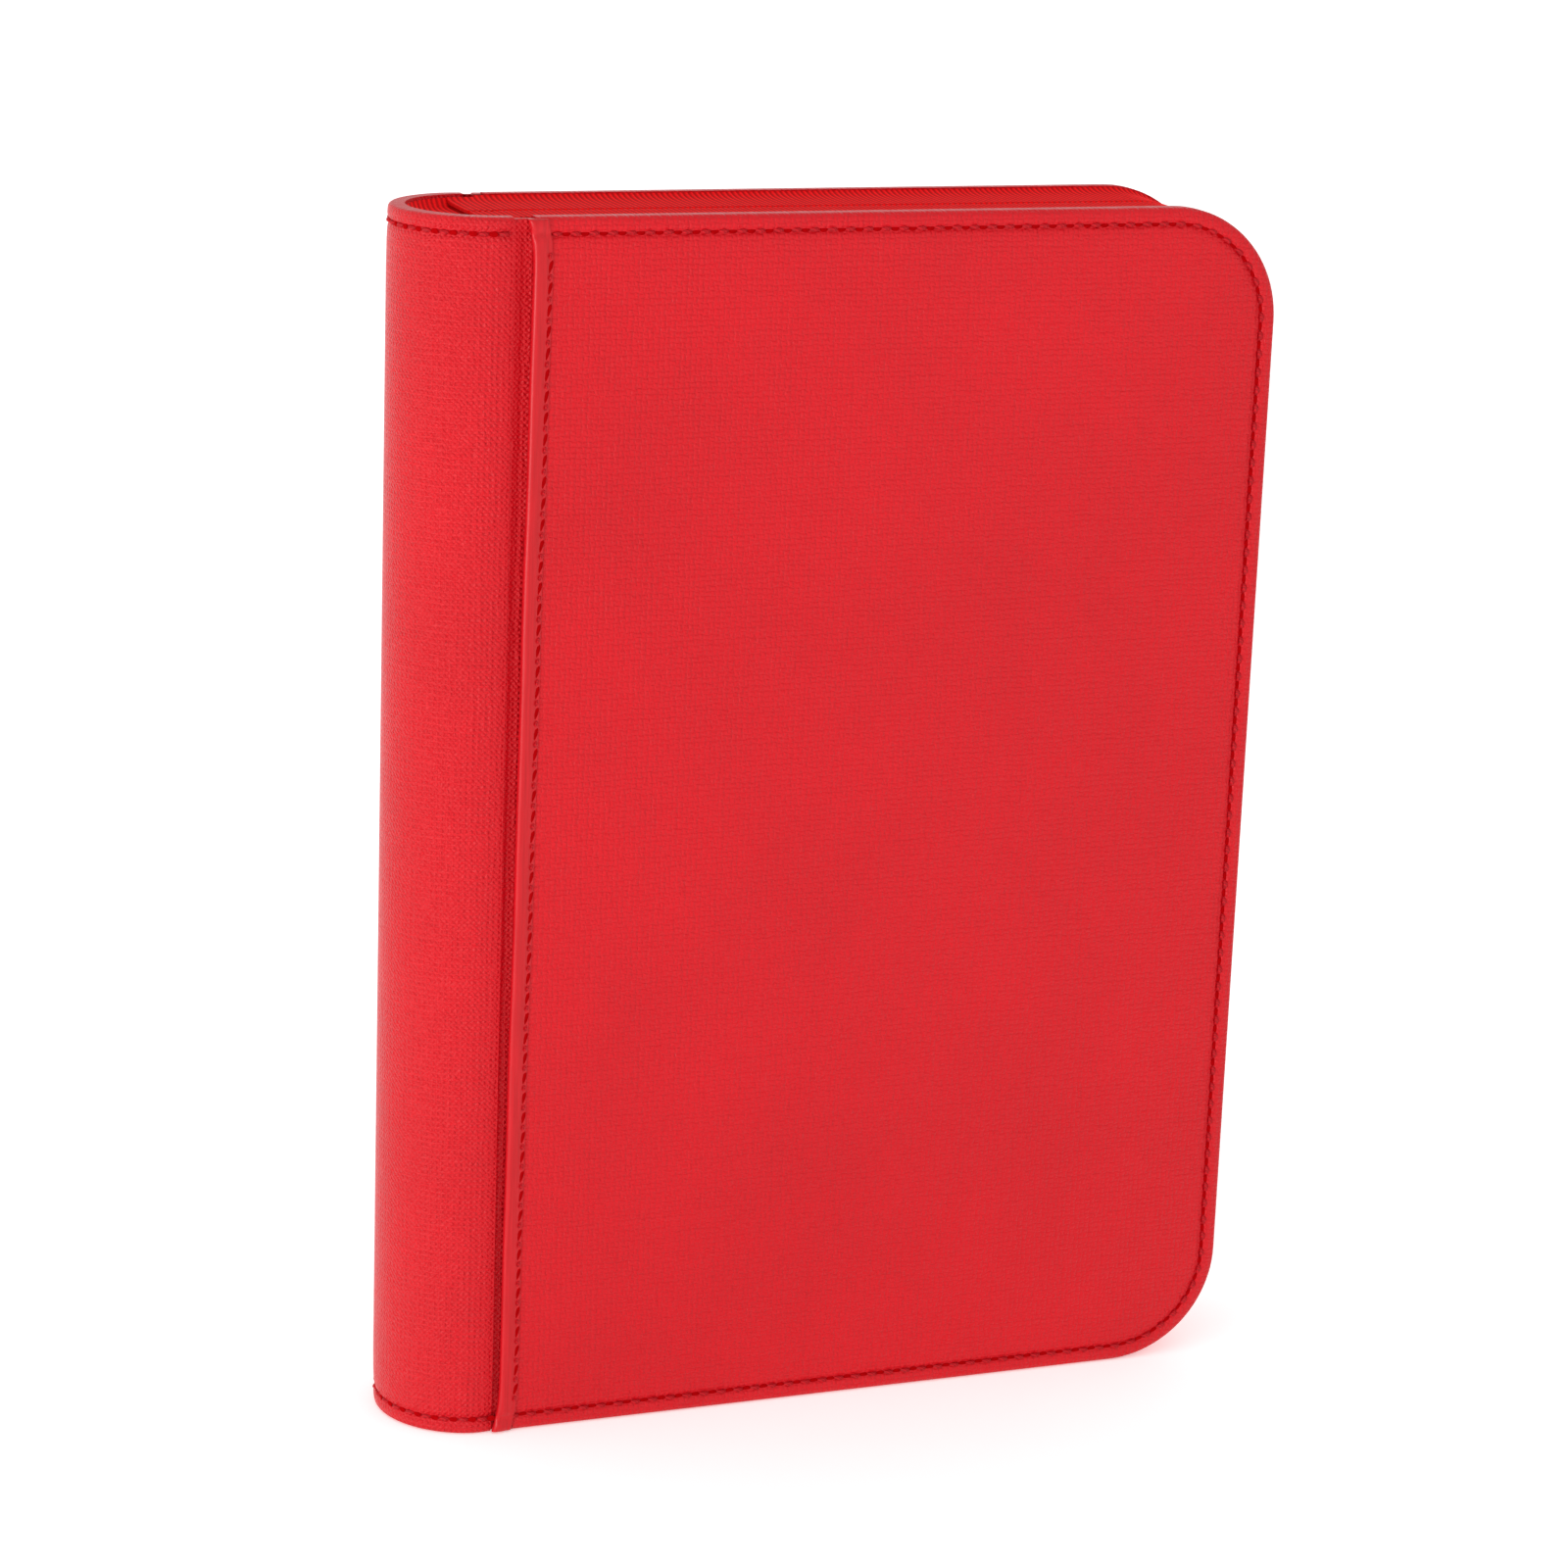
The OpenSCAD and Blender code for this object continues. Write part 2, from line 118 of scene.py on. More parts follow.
class BinderSizes(bpy.types.PropertyGroup):
    """Sizes of the finished surfaces."""

    corner_r: length("Corner radius", "Outer radius of the fore-edge corners", 21.4)
    stitch_in: length("Stitch margin", "Distance from the edges to the edge stitches", 2.9)
    stitch_pitch: length("Stitch pitch", "Distance between edge stitches", 3.4)
    fold_pitch: length("Fold stitch pitch", "Distance between stitches down the fold", 3.8)
    fold_stitch_in: length("Fold stitch margin", "Distance from the fold to its stitches", 2.5)
    edge_roll: length("Edge roll", "Radius of the turned edge", 1.1)
    roll_h: length("Fold height", "Height of the folded edge beside the spine", 0.85)
    roll_w: length("Fold width", "Width of the folded edge beside the spine", 3.3)
    lean: length("Lean", "How far the folded edge leans towards the spine at its foot", 2.4)
    dip: length("Zip depth", "Depth of the zip below the top and fore-edges", 1.2)
    low_dip: length("Zip depth at the foot", "Depth of the zip below the bottom edges", 5.0)
    tape_t: length("Tape thickness", "Thickness of the zip tape", 0.6)
    flat_half: length("Flat middle", "Half-width of the flat middle of the tape", 5.2)
    ramp_l: length("Foot slope", "Length of the slope of the zip at the foot", 7.0)
    chain_gap: length("Chain gap", "Half of the gap between the tapes", 0.5)
    rib_pitch: length("Rib pitch", "Distance between the woven ribs", 1.05)
    rib_h: length("Rib height", "Height of the woven ribs", 0.2)
    tooth_pitch: length("Tooth pitch", "Distance between teeth of one half-chain", 1.3)
    weld_w: length("Weld width", "Width of the welded seams of a leaf", 1.6)
    film_w: length("Plain film", "Width of the plain film beside the spine", 3.0)


class BinderColours(bpy.types.PropertyGroup):
    """Colours of the finishes."""

    skin: colour("Skin", "Artificial leather", "C90E1B")
    # Skin shade and streak: the darker leather colour, painted into the low parts of the weave as
    # shade, and the dark end of the streaks along the folds
    skin_shade_and_streak: colour("Skin shade", "The leather in its creases and weave", "B60813")
    tape: colour("Zip tape", "Woven zip tape", "F20E13")
    thread: colour("Thread", "Sewing thread", "BE131E")
    hole: colour("Needle hole", "Shadow in a needle hole", "8C0306")
    lining: colour("Lining", "Woven nylon lining", "17171A")
    film: colour("Film", "Clear pocket film", "E9EDF0")
    core: colour("Leaf core", "Black sheet between the pockets", "1B1B1E")
    metal: colour("Slider", "Enamel on the slider", "1A1A1C")
    floor: colour("Floor", "Studio floor", "FAFAFA")


def sizes():
    return bpy.context.scene.binder_sizes


def colours():
    return bpy.context.scene.binder_colours


# ---------------------------------------------------------------- mesh helpers


def fresh(name):
    """The active object, with its name and its mesh's name set."""
    piece = bpy.context.active_object
    piece.name = name
    piece.data.name = name
    return piece


def nothing_selected():
    if bpy.context.mode != "OBJECT":
        bpy.ops.object.mode_set(mode="OBJECT")
    bpy.ops.object.select_all(action="DESELECT")


def start_cube(name, low, high):
    """A block between two corners, as the active object."""
    nothing_selected()
    low, high = Vector(low), Vector(high)
    bpy.ops.mesh.primitive_cube_add(size=1, location=(low + high) / 2, scale=high - low)
    bpy.ops.object.transform_apply(location=True, rotation=True, scale=True)
    return fresh(name)


def pick(piece, edges=None, facing=None):
    """In edit mode, selects the edges that pass a test on their two ends, or the largest face
    that looks along a direction."""
    bpy.ops.object.mode_set(mode="EDIT")
    bpy.ops.mesh.select_all(action="DESELECT")
    bpy.ops.mesh.select_mode(type="FACE" if facing else "EDGE")
    bpy.ops.object.mode_set(mode="OBJECT")
    mesh = piece.data
    if facing:
        faces = [f for f in mesh.polygons if f.normal.dot(Vector(facing)) > 0.99]
        max(faces, key=lambda f: f.area).select = True
    else:
        for edge in mesh.edges:
            edge.select = bool(edges(*(mesh.vertices[i].co for i in edge.vertices)))
    bpy.ops.object.mode_set(mode="EDIT")


def close_edit(piece, smooth):
    """Back to object mode, with normals outward and soft shading below an angle in degrees."""
    bpy.ops.mesh.select_all(action="SELECT")
    bpy.ops.mesh.remove_doubles(threshold=1e-6)
    bpy.ops.mesh.normals_make_consistent(inside=False)
    bpy.ops.object.mode_set(mode="OBJECT")
    smooth_piece(piece, smooth)


def activate(piece):
    """Selects one piece alone and makes it the active one."""
    nothing_selected()
    piece.select_set(True)
    bpy.context.view_layer.objects.active = piece


def smooth_piece(piece, angle):
    activate(piece)
    bpy.ops.object.shade_smooth_by_angle(angle=math.radians(angle))


def from_points(name, points, faces):
    """A piece from computed points and faces, in place."""
    mesh = bpy.data.meshes.new(name)
    mesh.from_pydata([tuple(p) for p in points], [], faces)
    mesh.update()
    piece = bpy.data.objects.new(name, mesh)
    bpy.context.scene.collection.objects.link(piece)
    return piece


def sweep(name, rings, smooth):
    """A closed solid through rings of equal size, with flat ends."""
    count = len(rings[0])
    points = [p for ring in rings for p in ring]
    faces = []
    for i in range(len(rings) - 1):
        for k in range(count):
            a, b = i * count + k, i * count + (k + 1) % count
            faces.append((a, b, b + count, a + count))
    faces.append(tuple(range(count - 1, -1, -1)))
    last = (len(rings) - 1) * count
    faces.append(tuple(range(last, last + count)))
    piece = from_points(name, points, faces)
    activate(piece)
    bpy.ops.object.mode_set(mode="EDIT")
    close_edit(piece, smooth)
    return piece


def copies(name, seed, places):
    """One piece made of a copy of the seed at each place, given as a 4x4 matrix. The seed goes."""
    mesh = seed.data
    count = len(mesh.vertices)
    base = np.ones((count, 4))
    base[:, :3] = np.array([v.co for v in mesh.vertices])
    polygons = [tuple(p.vertices) for p in mesh.polygons]
    points, faces = [], []
    for n, place in enumerate(places):
        points.extend((base @ np.array(place).T)[:, :3].tolist())
        faces.extend(tuple(i + n * count for i in polygon) for polygon in polygons)
    piece = from_points(name, points, faces)
    slots = [p.material_index for p in mesh.polygons]
    bpy.data.objects.remove(seed)
    piece.data.polygons.foreach_set("material_index", slots * len(places))
    smooth_piece(piece, 60)
    return piece


def joined(name, pieces):
    """Several objects as one."""
    nothing_selected()
    for piece in pieces:
        piece.select_set(True)
    bpy.context.view_layer.objects.active = pieces[0]
    bpy.ops.object.join()
    return fresh(name)


def place(origin, along, up):
    """A matrix whose X runs along, whose Z is up and whose origin is given."""
    x = Vector(along).normalized()
    z = Vector(up).normalized()
    y = z.cross(x)
    matrix = Matrix((x, y, z)).transposed().to_4x4()
    matrix.translation = Vector(origin)
    return matrix


def cloth_map(piece, across):
    """A UV map in millimetres: across gives the distance along the cloth, and Z its height."""
    uv = piece.data.uv_layers.new(name="cloth")
    spots = np.array([v.co for v in piece.data.vertices])
    for loop in piece.data.loops:
        spot = spots[loop.vertex_index]
        uv.data[loop.index].uv = (across(spot) / MM, spot[2] / MM)
    piece.data.uv_layers.active = uv


def flat_distance(spot):
    return spot[0]


def spine_distance(spot):
    """Distance round the spine, carried on along the covers' faces."""
    if spot[0] >= SPINE_X:
        return spot[0] if spot[1] < 0 else -spot[0] + 2 * SPINE_X - math.pi * HALF_T
    turn = math.atan2(SPINE_X - spot[0], -spot[1])
    return SPINE_X - turn * HALF_T


def finish_piece(piece, material, body, slot, *nodes):
    """Gives a piece its material and body, and hides the nodes that it stands for. Its slot is not
    used.
    """
    piece.data.materials.clear()
    piece.data.materials.append(material)
    if body:
        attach(piece, body)
    if nodes:
        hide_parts(*nodes)
    return piece


# ---------------------------------------------------------------- materials


def feed(tree, node, inputs):
    """Gives each input of a node its plain value, or a link where the value is a socket."""
    for key, value in inputs.items():
        if isinstance(value, bpy.types.NodeSocket):
            tree.links.new(value, node.inputs[key])
        else:
            node.inputs[key].default_value = value


def add(tree, kind, inputs=(), out=0, **settings):
    """Adds one node with its settings and its inputs, by name or in order, and gives back the
    output that is asked for."""
    made = tree.nodes.new("ShaderNode" + kind)
    for key, value in settings.items():
        setattr(made, key, value)
    feed(tree, made, inputs if isinstance(inputs, dict) else dict(enumerate(inputs)))
    return made.outputs[out]


def started(name, **plain):
    """A material with a principled shader whose plain inputs are set."""
    material = bpy.data.materials.new(name)
    material.use_nodes = True
    tree = material.node_tree
    shader = tree.nodes["Principled BSDF"]
    feed(tree, shader, {key.replace("_", " "): value for key, value in plain.items()})
    return material, tree, shader


def shaded(tree, shader, height, bump, factor, low, high):
    """Gives a shader a bump, as (strength, depth in millimetres), and a colour between two."""
    strength, depth_mm = bump
    normal = add(tree, "Bump", {"Strength": strength, "Distance": depth_mm * MM, "Height": height})
    shade = add(tree, "Mix", {0: factor, 6: low, 7: high}, 2, data_type="RGBA")
    feed(tree, shader, {"Normal": normal, "Base Color": shade})


def grained(name, inputs, bump, low, high, **plain):
    """A material with one noise, fixed to the piece, that raises it and mixes its colours."""
    material, tree, shader = started(name, **plain)
    spot = add(tree, "TexCoord", out="Object")
    grain = add(tree, "TexNoise", {"Vector": spot, **inputs})
    shaded(tree, shader, grain, bump, grain, low, high)
    return material


def shade_of(base, factor):
    """A darker or paler shade of a colour."""
    return tuple(min(1.0, c * factor) for c in base[:3]) + (1.0,)


def wave(tree, value, pitch):
    """A wave along a value, with half a turn to each pitch."""
    turn = add(tree, "Math", (value, math.pi / pitch), operation="MULTIPLY")
    return add(tree, "Math", (turn,), operation="SINE")


def weighed(tree, first, *rest):
    """The sum of values that are each given with their weight."""
    value = add(tree, "Math", first, operation="MULTIPLY")
    return add(tree, "Math", (value, weighed(tree, *rest)), operation="ADD") if rest else value


def plain_weave(tree, across, upward, edge):
    """Threads that pass over and under each other, from a wave each way."""
    over = add(tree, "Math", (across, upward), operation="MULTIPLY")
    over = add(tree, "MapRange", (over, -edge, edge))
    warp, weft = [add(tree, "Math", (v,), operation="ABSOLUTE") for v in (across, upward)]
    return add(tree, "Mix", {0: over, 2: warp, 3: weft}, data_type="FLOAT")


def artificial_leather(name="pu_leather_linen_emboss", knot=1.0, depth_mm=0.3, gloss=0.34,
                       diagonal=False):
    """PU leather, embossed with a linen grain: small raised knots in rows and a soft sheen on a
    calendered face. Gives the eye a fine, slightly uneven weave with pin-point highlights, and
    shade painted darker into its low parts."""
    tint = colours()
    material, tree, shader = started(name, Roughness=0.42, IOR=1.3)
    cloth = add(tree, "UVMap", uv_map="cloth")
    sway = add(tree, "TexNoise", {"Vector": cloth, "Scale": 0.35, "Detail": 2.0}, "Color")
    shift = add(tree, "VectorMath", (sway, (0.9, 0.9, 0.0), cloth), operation="MULTIPLY_ADD")
    flat, tall, _ = add(tree, "SeparateXYZ", (shift,), slice(3))
    across, upward = wave(tree, flat, knot), wave(tree, tall, knot)
    if diagonal:
        slants = [wave(tree, add(tree, "Math", (flat, tall), operation=way), knot)
                  for way in ("ADD", "SUBTRACT")]
        dots = add(tree, "Math", slants, operation="MULTIPLY")
        dots = add(tree, "Math", (dots,), operation="ABSOLUTE")
        lines = add(tree, "Math", (across,), operation="ABSOLUTE")
        woven = weighed(tree, (dots, 0.65), (lines, 0.4))
    else:
        woven = plain_weave(tree, across, upward, 0.35)
    grit = add(tree, "TexNoise", {"Vector": cloth, "Scale": 1.6, "Detail": 3.0, "Roughness": 0.6})
    slubs = []
    for stretch in ((0.16, 1.1, 1.0), (1.1, 0.16, 1.0)):
        pulled = add(tree, "VectorMath", (cloth, stretch), operation="MULTIPLY")
        slubs.append(add(tree, "TexNoise", {"Vector": pulled, "Scale": 1.0, "Detail": 1.0}))
    slubs = add(tree, "Math", slubs, operation="ADD")
    height = weighed(tree, (woven, 0.55), (grit, 0.7), (slubs, 0.5))
    fine = add(tree, "Bump", {"Strength": 1.0, "Distance": depth_mm * MM, "Height": height})
    spot = add(tree, "TexCoord", out="Object")
    patches = add(tree, "TexNoise", {"Vector": spot, "Scale": 28.0, "Detail": 3.0})
    soft = add(tree, "Bump", {"Strength": 0.25, "Distance": 0.9 * MM, "Height": patches,
                              "Normal": fine})
    # Painted shade: the low parts of the weave take the darker skin colour, as shade in its furrows
    depth = add(tree, "MapRange", (height, 0.2, 1.3, 0.3, 1.0))
    shade = add(tree, "Mix", {0: depth, 6: tint.skin_shade_and_streak, 7: tint.skin}, 2, data_type="RGBA")
    value = add(tree, "MapRange", (patches, 0.3, 0.7, 0.96, 1.05))
    tone = add(tree, "HueSaturation", {"Color": shade, "Value": value})
    shine = add(tree, "MapRange", (grit, 0.3, 0.7, gloss - 0.05, gloss + 0.08))
    feed(tree, shader, {"Normal": soft, "Base Color": tone, "Roughness": shine})
    return material


def spine_leather():
    """The same leather where it is stretched round the spine: the knots stand a little further
    apart and higher, in slanting rows, and each one catches the light."""
    return artificial_leather("pu_leather_spine_emboss", 1.05, 0.42, 0.32, True)


def rolled_leather():
    """The same leather stretched round a fold: the emboss is pulled nearly smooth, so it is
    glossier and a little paler along its crown."""
    tint = colours()
    material, tree, shader = started("pu_leather_stretched", Roughness=0.36, IOR=1.36)
    spot = add(tree, "TexCoord", out="Object")
    pulled = add(tree, "VectorMath", (spot, (2600.0, 2600.0, 90.0)), operation="MULTIPLY")
    streaks = add(tree, "TexNoise", {"Vector": pulled, "Scale": 1.0, "Detail": 2.0})
    factor = add(tree, "MapRange", (streaks, 0.3, 0.7))
    shaded(tree, shader, streaks, (0.35, 0.08), factor, tint.skin_shade_and_streak, tint.skin)
    return material


def woven_tape():
    """Polyester zip tape, woven with cross ribs: a dull cloth with shade painted into its furrows
    and a fuzz of fine threads."""
    tint = colours()
    material, tree, shader = started("polyester_zip_tape", Roughness=0.85, IOR=1.2)
    spot = add(tree, "TexCoord", out="Object")
    threads = add(tree, "TexNoise", {"Vector": spot, "Scale": 3200.0, "Detail": 2.0})
    bump = add(tree, "Bump", {"Strength": 0.5, "Distance": 0.08 * MM, "Height": threads})
    crest = add(tree, "Attribute", out="Fac", attribute_name="crest")
    # Painted shade: where the crest is low, in the furrows between ribs, the tape takes half its
    # colour
    factor = add(tree, "MapRange", (crest, 0.2, 0.8))
    shade = add(tree, "Mix", {0: factor, 6: shade_of(tint.tape, 0.5), 7: tint.tape}, 2,
                data_type="RGBA")
    value = add(tree, "MapRange", (threads, 0.3, 0.7, 0.85, 1.15))
    tone = add(tree, "HueSaturation", {"Color": shade, "Value": value})
    feed(tree, shader, {"Normal": bump, "Base Color": tone})
    return material


def woven_nylon():
    """Woven nylon: a tight plain weave with a faint sheen, used for the lining and webbing."""
    tint = colours()
    material, tree, shader = started("woven_nylon", Roughness=0.6, IOR=1.5,
                                     Sheen_Weight=0.2, Sheen_Roughness=0.35)
    pitch = 0.8 * MM  # coarser than real, so that it shows
    spot = add(tree, "TexCoord", out="Object")
    x, y, z = add(tree, "SeparateXYZ", (spot,), slice(3))
    across = wave(tree, add(tree, "Math", (x, y), operation="ADD"), pitch)
    woven = plain_weave(tree, across, wave(tree, z, pitch), 0.3)
    shaded(tree, shader, woven, (0.6, 0.12), woven, tint.lining, shade_of(tint.lining, 2.2))
    return material


def twisted_thread():
    """Bonded polyester thread, twisted from three plies: fine slanting lines and a soft shine."""
    tint = colours()
    material, tree, shader = started("bonded_polyester_thread", Roughness=0.5, IOR=1.25)
    spot = add(tree, "TexCoord", out="Object")
    plies = add(tree, "TexWave", {"Vector": spot, "Scale": 900.0, "Distortion": 1.0}, "Fac",
                bands_direction="DIAGONAL")
    shaded(tree, shader, plies, (0.5, 0.08), plies, shade_of(tint.thread, 0.6), tint.thread)
    return material


def hole_shadow():
    """The leather round a needle hole, seen in its own shadow: dark red, with no shine."""
    material, tree, shader = started("needle_hole", Roughness=1.0, IOR=1.05)
    spot = add(tree, "TexCoord", out="Object")
    specks = add(tree, "TexNoise", {"Vector": spot, "Scale": 1500.0})
    hole = colours().hole
    shade = add(tree, "Mix", {0: specks, 6: hole, 7: shade_of(hole, 1.6)}, 2, data_type="RGBA")
    feed(tree, shader, {"Base Color": shade})
    return material


def enamelled_zinc():
    """Die-cast zinc with black enamel: smooth and glossy, worn to grey along its edges."""
    material, tree, shader = started("enamelled_zinc", Roughness=0.28, IOR=1.5, Coat_Weight=0.4,
                                     Coat_Roughness=0.15)
    spot = add(tree, "TexCoord", out="Object")
    scuffs = add(tree, "TexNoise", {"Vector": spot, "Scale": 900.0, "Detail": 4.0,
                                    "Roughness": 0.7})
    worn = add(tree, "MapRange", (scuffs, 0.62, 0.75))
    shaded(tree, shader, scuffs, (0.2, 0.05), worn, colours().metal, hex_linear("5A5A5E"))
    feed(tree, shader, {"Roughness": add(tree, "MapRange", (scuffs, 0.3, 0.7, 0.2, 0.38))})
    return material


def nylon_coil():
    """Moulded nylon monofilament of the coil: smooth, a little translucent and shiny."""
    tape = colours().tape
    return grained("nylon_coil", {"Scale": 700.0}, (0.2, 0.05), shade_of(tape, 0.55), tape,
                   Roughness=0.35, IOR=1.53, Subsurface_Weight=0.05)


def pocket_film():
    """Cast polypropylene film: clear and glossy with faint ripples, so the leaf below shows."""
    material, tree, shader = started("polypropylene_film", Roughness=0.16, IOR=1.49, Alpha=0.08)
    spot = add(tree, "TexCoord", out="Object")
    ripple = add(tree, "TexNoise", {"Vector": spot, "Scale": 60.0, "Detail": 3.0})
    bump = add(tree, "Bump", {"Strength": 0.3, "Distance": 0.5 * MM, "Height": ripple})
    shine = add(tree, "MapRange", (ripple, 0.3, 0.7, 0.1, 0.22))
    feed(tree, shader, {"Normal": bump, "Roughness": shine, "Base Color": colours().film})
    return material


def leaf_sheet():
    """Extruded black polypropylene sheet with a fine matt grain that keeps cards from sliding."""
    core = colours().core
    return grained("polypropylene_sheet", {"Scale": 1800.0}, (0.35, 0.06), core,
                   shade_of(core, 1.8), Roughness=0.5, IOR=1.49)


def grey_board():
    """Dense grey board: pressed paper pulp with flecks of fibre."""
    flecks = {"Scale": 800.0, "Detail": 4.0, "Roughness": 0.7}
    return grained("grey_board", flecks, (0.3, 0.1), hex_linear("5B5852"), hex_linear("8A867E"),
                   Roughness=0.85, IOR=1.45)


MAKERS = {
    "skin": artificial_leather, "spine": spine_leather, "roll": rolled_leather,
    "tape": woven_tape, "nylon": woven_nylon, "thread": twisted_thread, "hole": hole_shadow,
    "metal": enamelled_zinc, "coil": nylon_coil, "film": pocket_film, "core": leaf_sheet,
    "board": grey_board,
}
MADE = {}


def finish(name):
    """A material, made the first time it is asked for."""
    if name not in MADE:
        MADE[name] = MAKERS[name]()
    return MADE[name]


# ---------------------------------------------------------------- shapes along the edges


def edge_walk(pitch, inset, start_x, offset=0.5):
    """Even steps along the top, fore-edge and bottom at an inset from the edge. Each step gives
    a point on the outer edge, the direction inwards and the direction of travel, seen along Y."""
    r = sizes().corner_r
    corner_x = FORE_X - r
    straight = corner_x - start_x
    arc = (r - inset) * math.pi / 2
    side = HEIGHT - 2 * r
    runs = [straight, arc, side, arc, straight]
    total = sum(runs)
    count = int(total / pitch)
    steps = []
    for n in range(count + (1 if offset == 0 else 0)):
        s = (n + offset) * total / count
        k = 0
        while k < 4 and s > runs[k]:
            s -= runs[k]
            k += 1
        if k in (0, 4):
            x = start_x + s if k == 0 else corner_x - s
            edge = Vector((x, 0, HEIGHT if k == 0 else 0))
            inward = Vector((0, 0, -1 if k == 0 else 1))
            along = Vector((1 if k == 0 else -1, 0, 0))
        elif k == 2:
            edge = Vector((FORE_X, 0, HEIGHT - r - s))
            inward, along = Vector((-1, 0, 0)), Vector((0, 0, -1))
        else:
            turn = math.pi / 2 - s / (r - inset) - (0 if k == 1 else math.pi / 2)
            centre = Vector((corner_x, 0, HEIGHT - r if k == 1 else r))
            out = Vector((math.cos(turn), 0, math.sin(turn)))
            edge, inward = centre + out * r, -out
            along = Vector((math.sin(turn), 0, -math.cos(turn)))
        steps.append((edge, inward, along))
    return steps


def zip_depth(edge):
    """Depth of the zip below the edge, which grows towards the slider's run at the foot."""
    size = sizes()
    ramp_end = FORE_X - size.corner_r
    if edge.z > 1e-6 or edge.x >= ramp_end:
        return size.dip
    share = min(1.0, (ramp_end - edge.x) / size.ramp_l)
    share = share * share * (3 - 2 * share)
    return size.dip + (size.low_dip - size.dip) * share


def wall_depth(depth, inward):
    """Depth of the tape at a distance inwards from the cover's wall: it climbs the wall steeply
    and is nearly flat a few millimetres in."""
    return TAPE_EDGE + (depth - TAPE_EDGE) * (1 - math.exp(-inward / WALL_FALL))


def tape_section(depth, crest):
    """Half of the tape's cross-section, as points of (distance from the middle, depth)."""
    size = sizes()
    t = size.tape_t
    lift = crest * size.rib_h
    steps = [n * MM for n in (0.4, 0.9, 1.5, 2.3, 3.4, 5.0)]
    outer = [(INNER_Y, TAPE_EDGE)]
    outer += [(INNER_Y - u, wall_depth(depth, u) - lift * min(1.0, u / MM)) for u in steps]
    outer += [(size.flat_half, depth - lift), (size.flat_half * 0.6, depth - lift),
              (1.5 * MM, depth - lift), (0.75 * MM, depth - lift * 0.8 - 0.05 * MM),
              (size.chain_gap, depth + 0.12 * MM)]
    inner = [(size.chain_gap, depth + t), (size.flat_half, depth + t)]
    inner += [(INNER_Y - t - u, wall_depth(depth, u) + t) for u in reversed(steps[1:])]
    inner += [(INNER_Y - t, TAPE_EDGE + 1.4 * t), (INNER_Y - t, TAPE_HEM), (INNER_Y, TAPE_HEM)]
    return outer + inner


def ribbed(name, rings, crests):
    """A swept tape that stores how high each of its rings stands, for the shade painted into its
    furrows.
    """
    piece = sweep(name, rings, 50)
    mark = piece.data.attributes.new("crest", "FLOAT", "POINT")
    mark.data.foreach_set("value", np.repeat(np.array(crests, np.float32), len(rings[0])))
    return piece


RIB_SHAPE = (0.0, 0.5, 1.0, 0.5)


def crest_of(n):
    return RIB_SHAPE[n % len(RIB_SHAPE)]


def cover_panel(side):
    """One padded cover: a block with round corners, whose outer face is inset step by step into
    a rolled rim, a sewn groove and a crowned pad, and whose back is hollowed for the board."""
    size, sign = sizes(), SIDES[side]
    r, roll = size.corner_r, size.edge_roll
    spare = 40 * MM
    low = (COVER_X - spare, min(sign * HALF_T, sign * INNER_Y), 0)
    high = (FORE_X, max(sign * HALF_T, sign * INNER_Y), HEIGHT)
    piece = start_cube(side + "_cover_panel", low, high)
    pick(piece, edges=lambda a, b: abs(a.y - b.y) > MM and min(a.x, b.x) > FORE_X - MM)
    bpy.ops.mesh.bevel(offset=r, segments=24, affect="EDGES")
    pick(piece, facing=(0, sign, 0))
    bpy.ops.mesh.region_to_loop()
    bpy.ops.mesh.bevel(offset=roll, segments=5, affect="EDGES")
    groove = size.stitch_in - roll
    pick(piece, facing=(0, sign, 0))
    steps = [(groove * 0.34, 0.10), (groove * 0.33, -0.04), (groove * 0.18, -0.22),
             (groove * 0.15, -0.26), (0.25 * MM, 0.0), (0.25 * MM, 0.10), (0.4 * MM, 0.26),
             (0.7 * MM, 0.16), (1.4 * MM, 0.08), (2.6 * MM, 0.05), (5 * MM, 0.03), (6 * MM, 0.02)]
    for thickness, rise in steps:
        bpy.ops.mesh.inset(thickness=thickness, depth=rise * MM, use_even_offset=True)
    pick(piece, facing=(0, -sign, 0))
    bpy.ops.mesh.inset(thickness=0.75 * MM, depth=0, use_even_offset=True)
    hollow = BOARD_HIGH.y - BOARD_LOW.y + LINING_HIGH.y - LINING_LOW.y + 0.01 * MM
    bpy.ops.mesh.inset(thickness=0.0, depth=-hollow)
    bpy.ops.mesh.select_all(action="SELECT")
    bpy.ops.mesh.bisect(plane_co=(COVER_X, 0, 0), plane_no=(1, 0, 0), use_fill=True,
                        clear_inner=True)
    close_edit(piece, 40)
    cloth_map(piece, flat_distance)
    finish_piece(piece, finish("skin"), side + "_cover", "skin", side + "_cover_skin",
                 side + "_cover_foam")


def fold_shift(z):
    """How far the folded edge stands from its straight line at a height: it leans at its foot and
    is drawn towards the spine where the edge stitches cross it."""
    size = sizes()
    end = max(0.0, min(z, HEIGHT - z))
    pinch = max(0.0, 1 - end / (10 * MM))
    wave = 0.1 * MM * math.sin(z / MM * 0.11) * math.sin(z / MM * 0.043 + 1.0)
    return wave - size.lean * (1 - z / HEIGHT) - 1.2 * MM * pinch ** 2.4


def end_press(z):
    """Share by which the edge stitches flatten what they cross, at a height."""
    end = min(z, HEIGHT - z)
    near = max(0.0, 1 - abs(end - sizes().stitch_in) / (1.1 * MM))
    return near * near * (3 - 2 * near)


def upright_levels():
    """Heights for a piece that runs the whole height, closer together at its ends."""
    near = [0.3, 0.6, 1.0, 1.5, 2.0, 2.45, 2.9, 3.35, 3.8, 4.5, 5.5, 7.0, 9.0]
    middle = [12.0 + 4.0 * n for n in range(int((HEIGHT / MM - 24) / 4) + 1)]
    levels = near + middle + [HEIGHT / MM - h for h in reversed(near)]
    return [h * MM for h in levels]


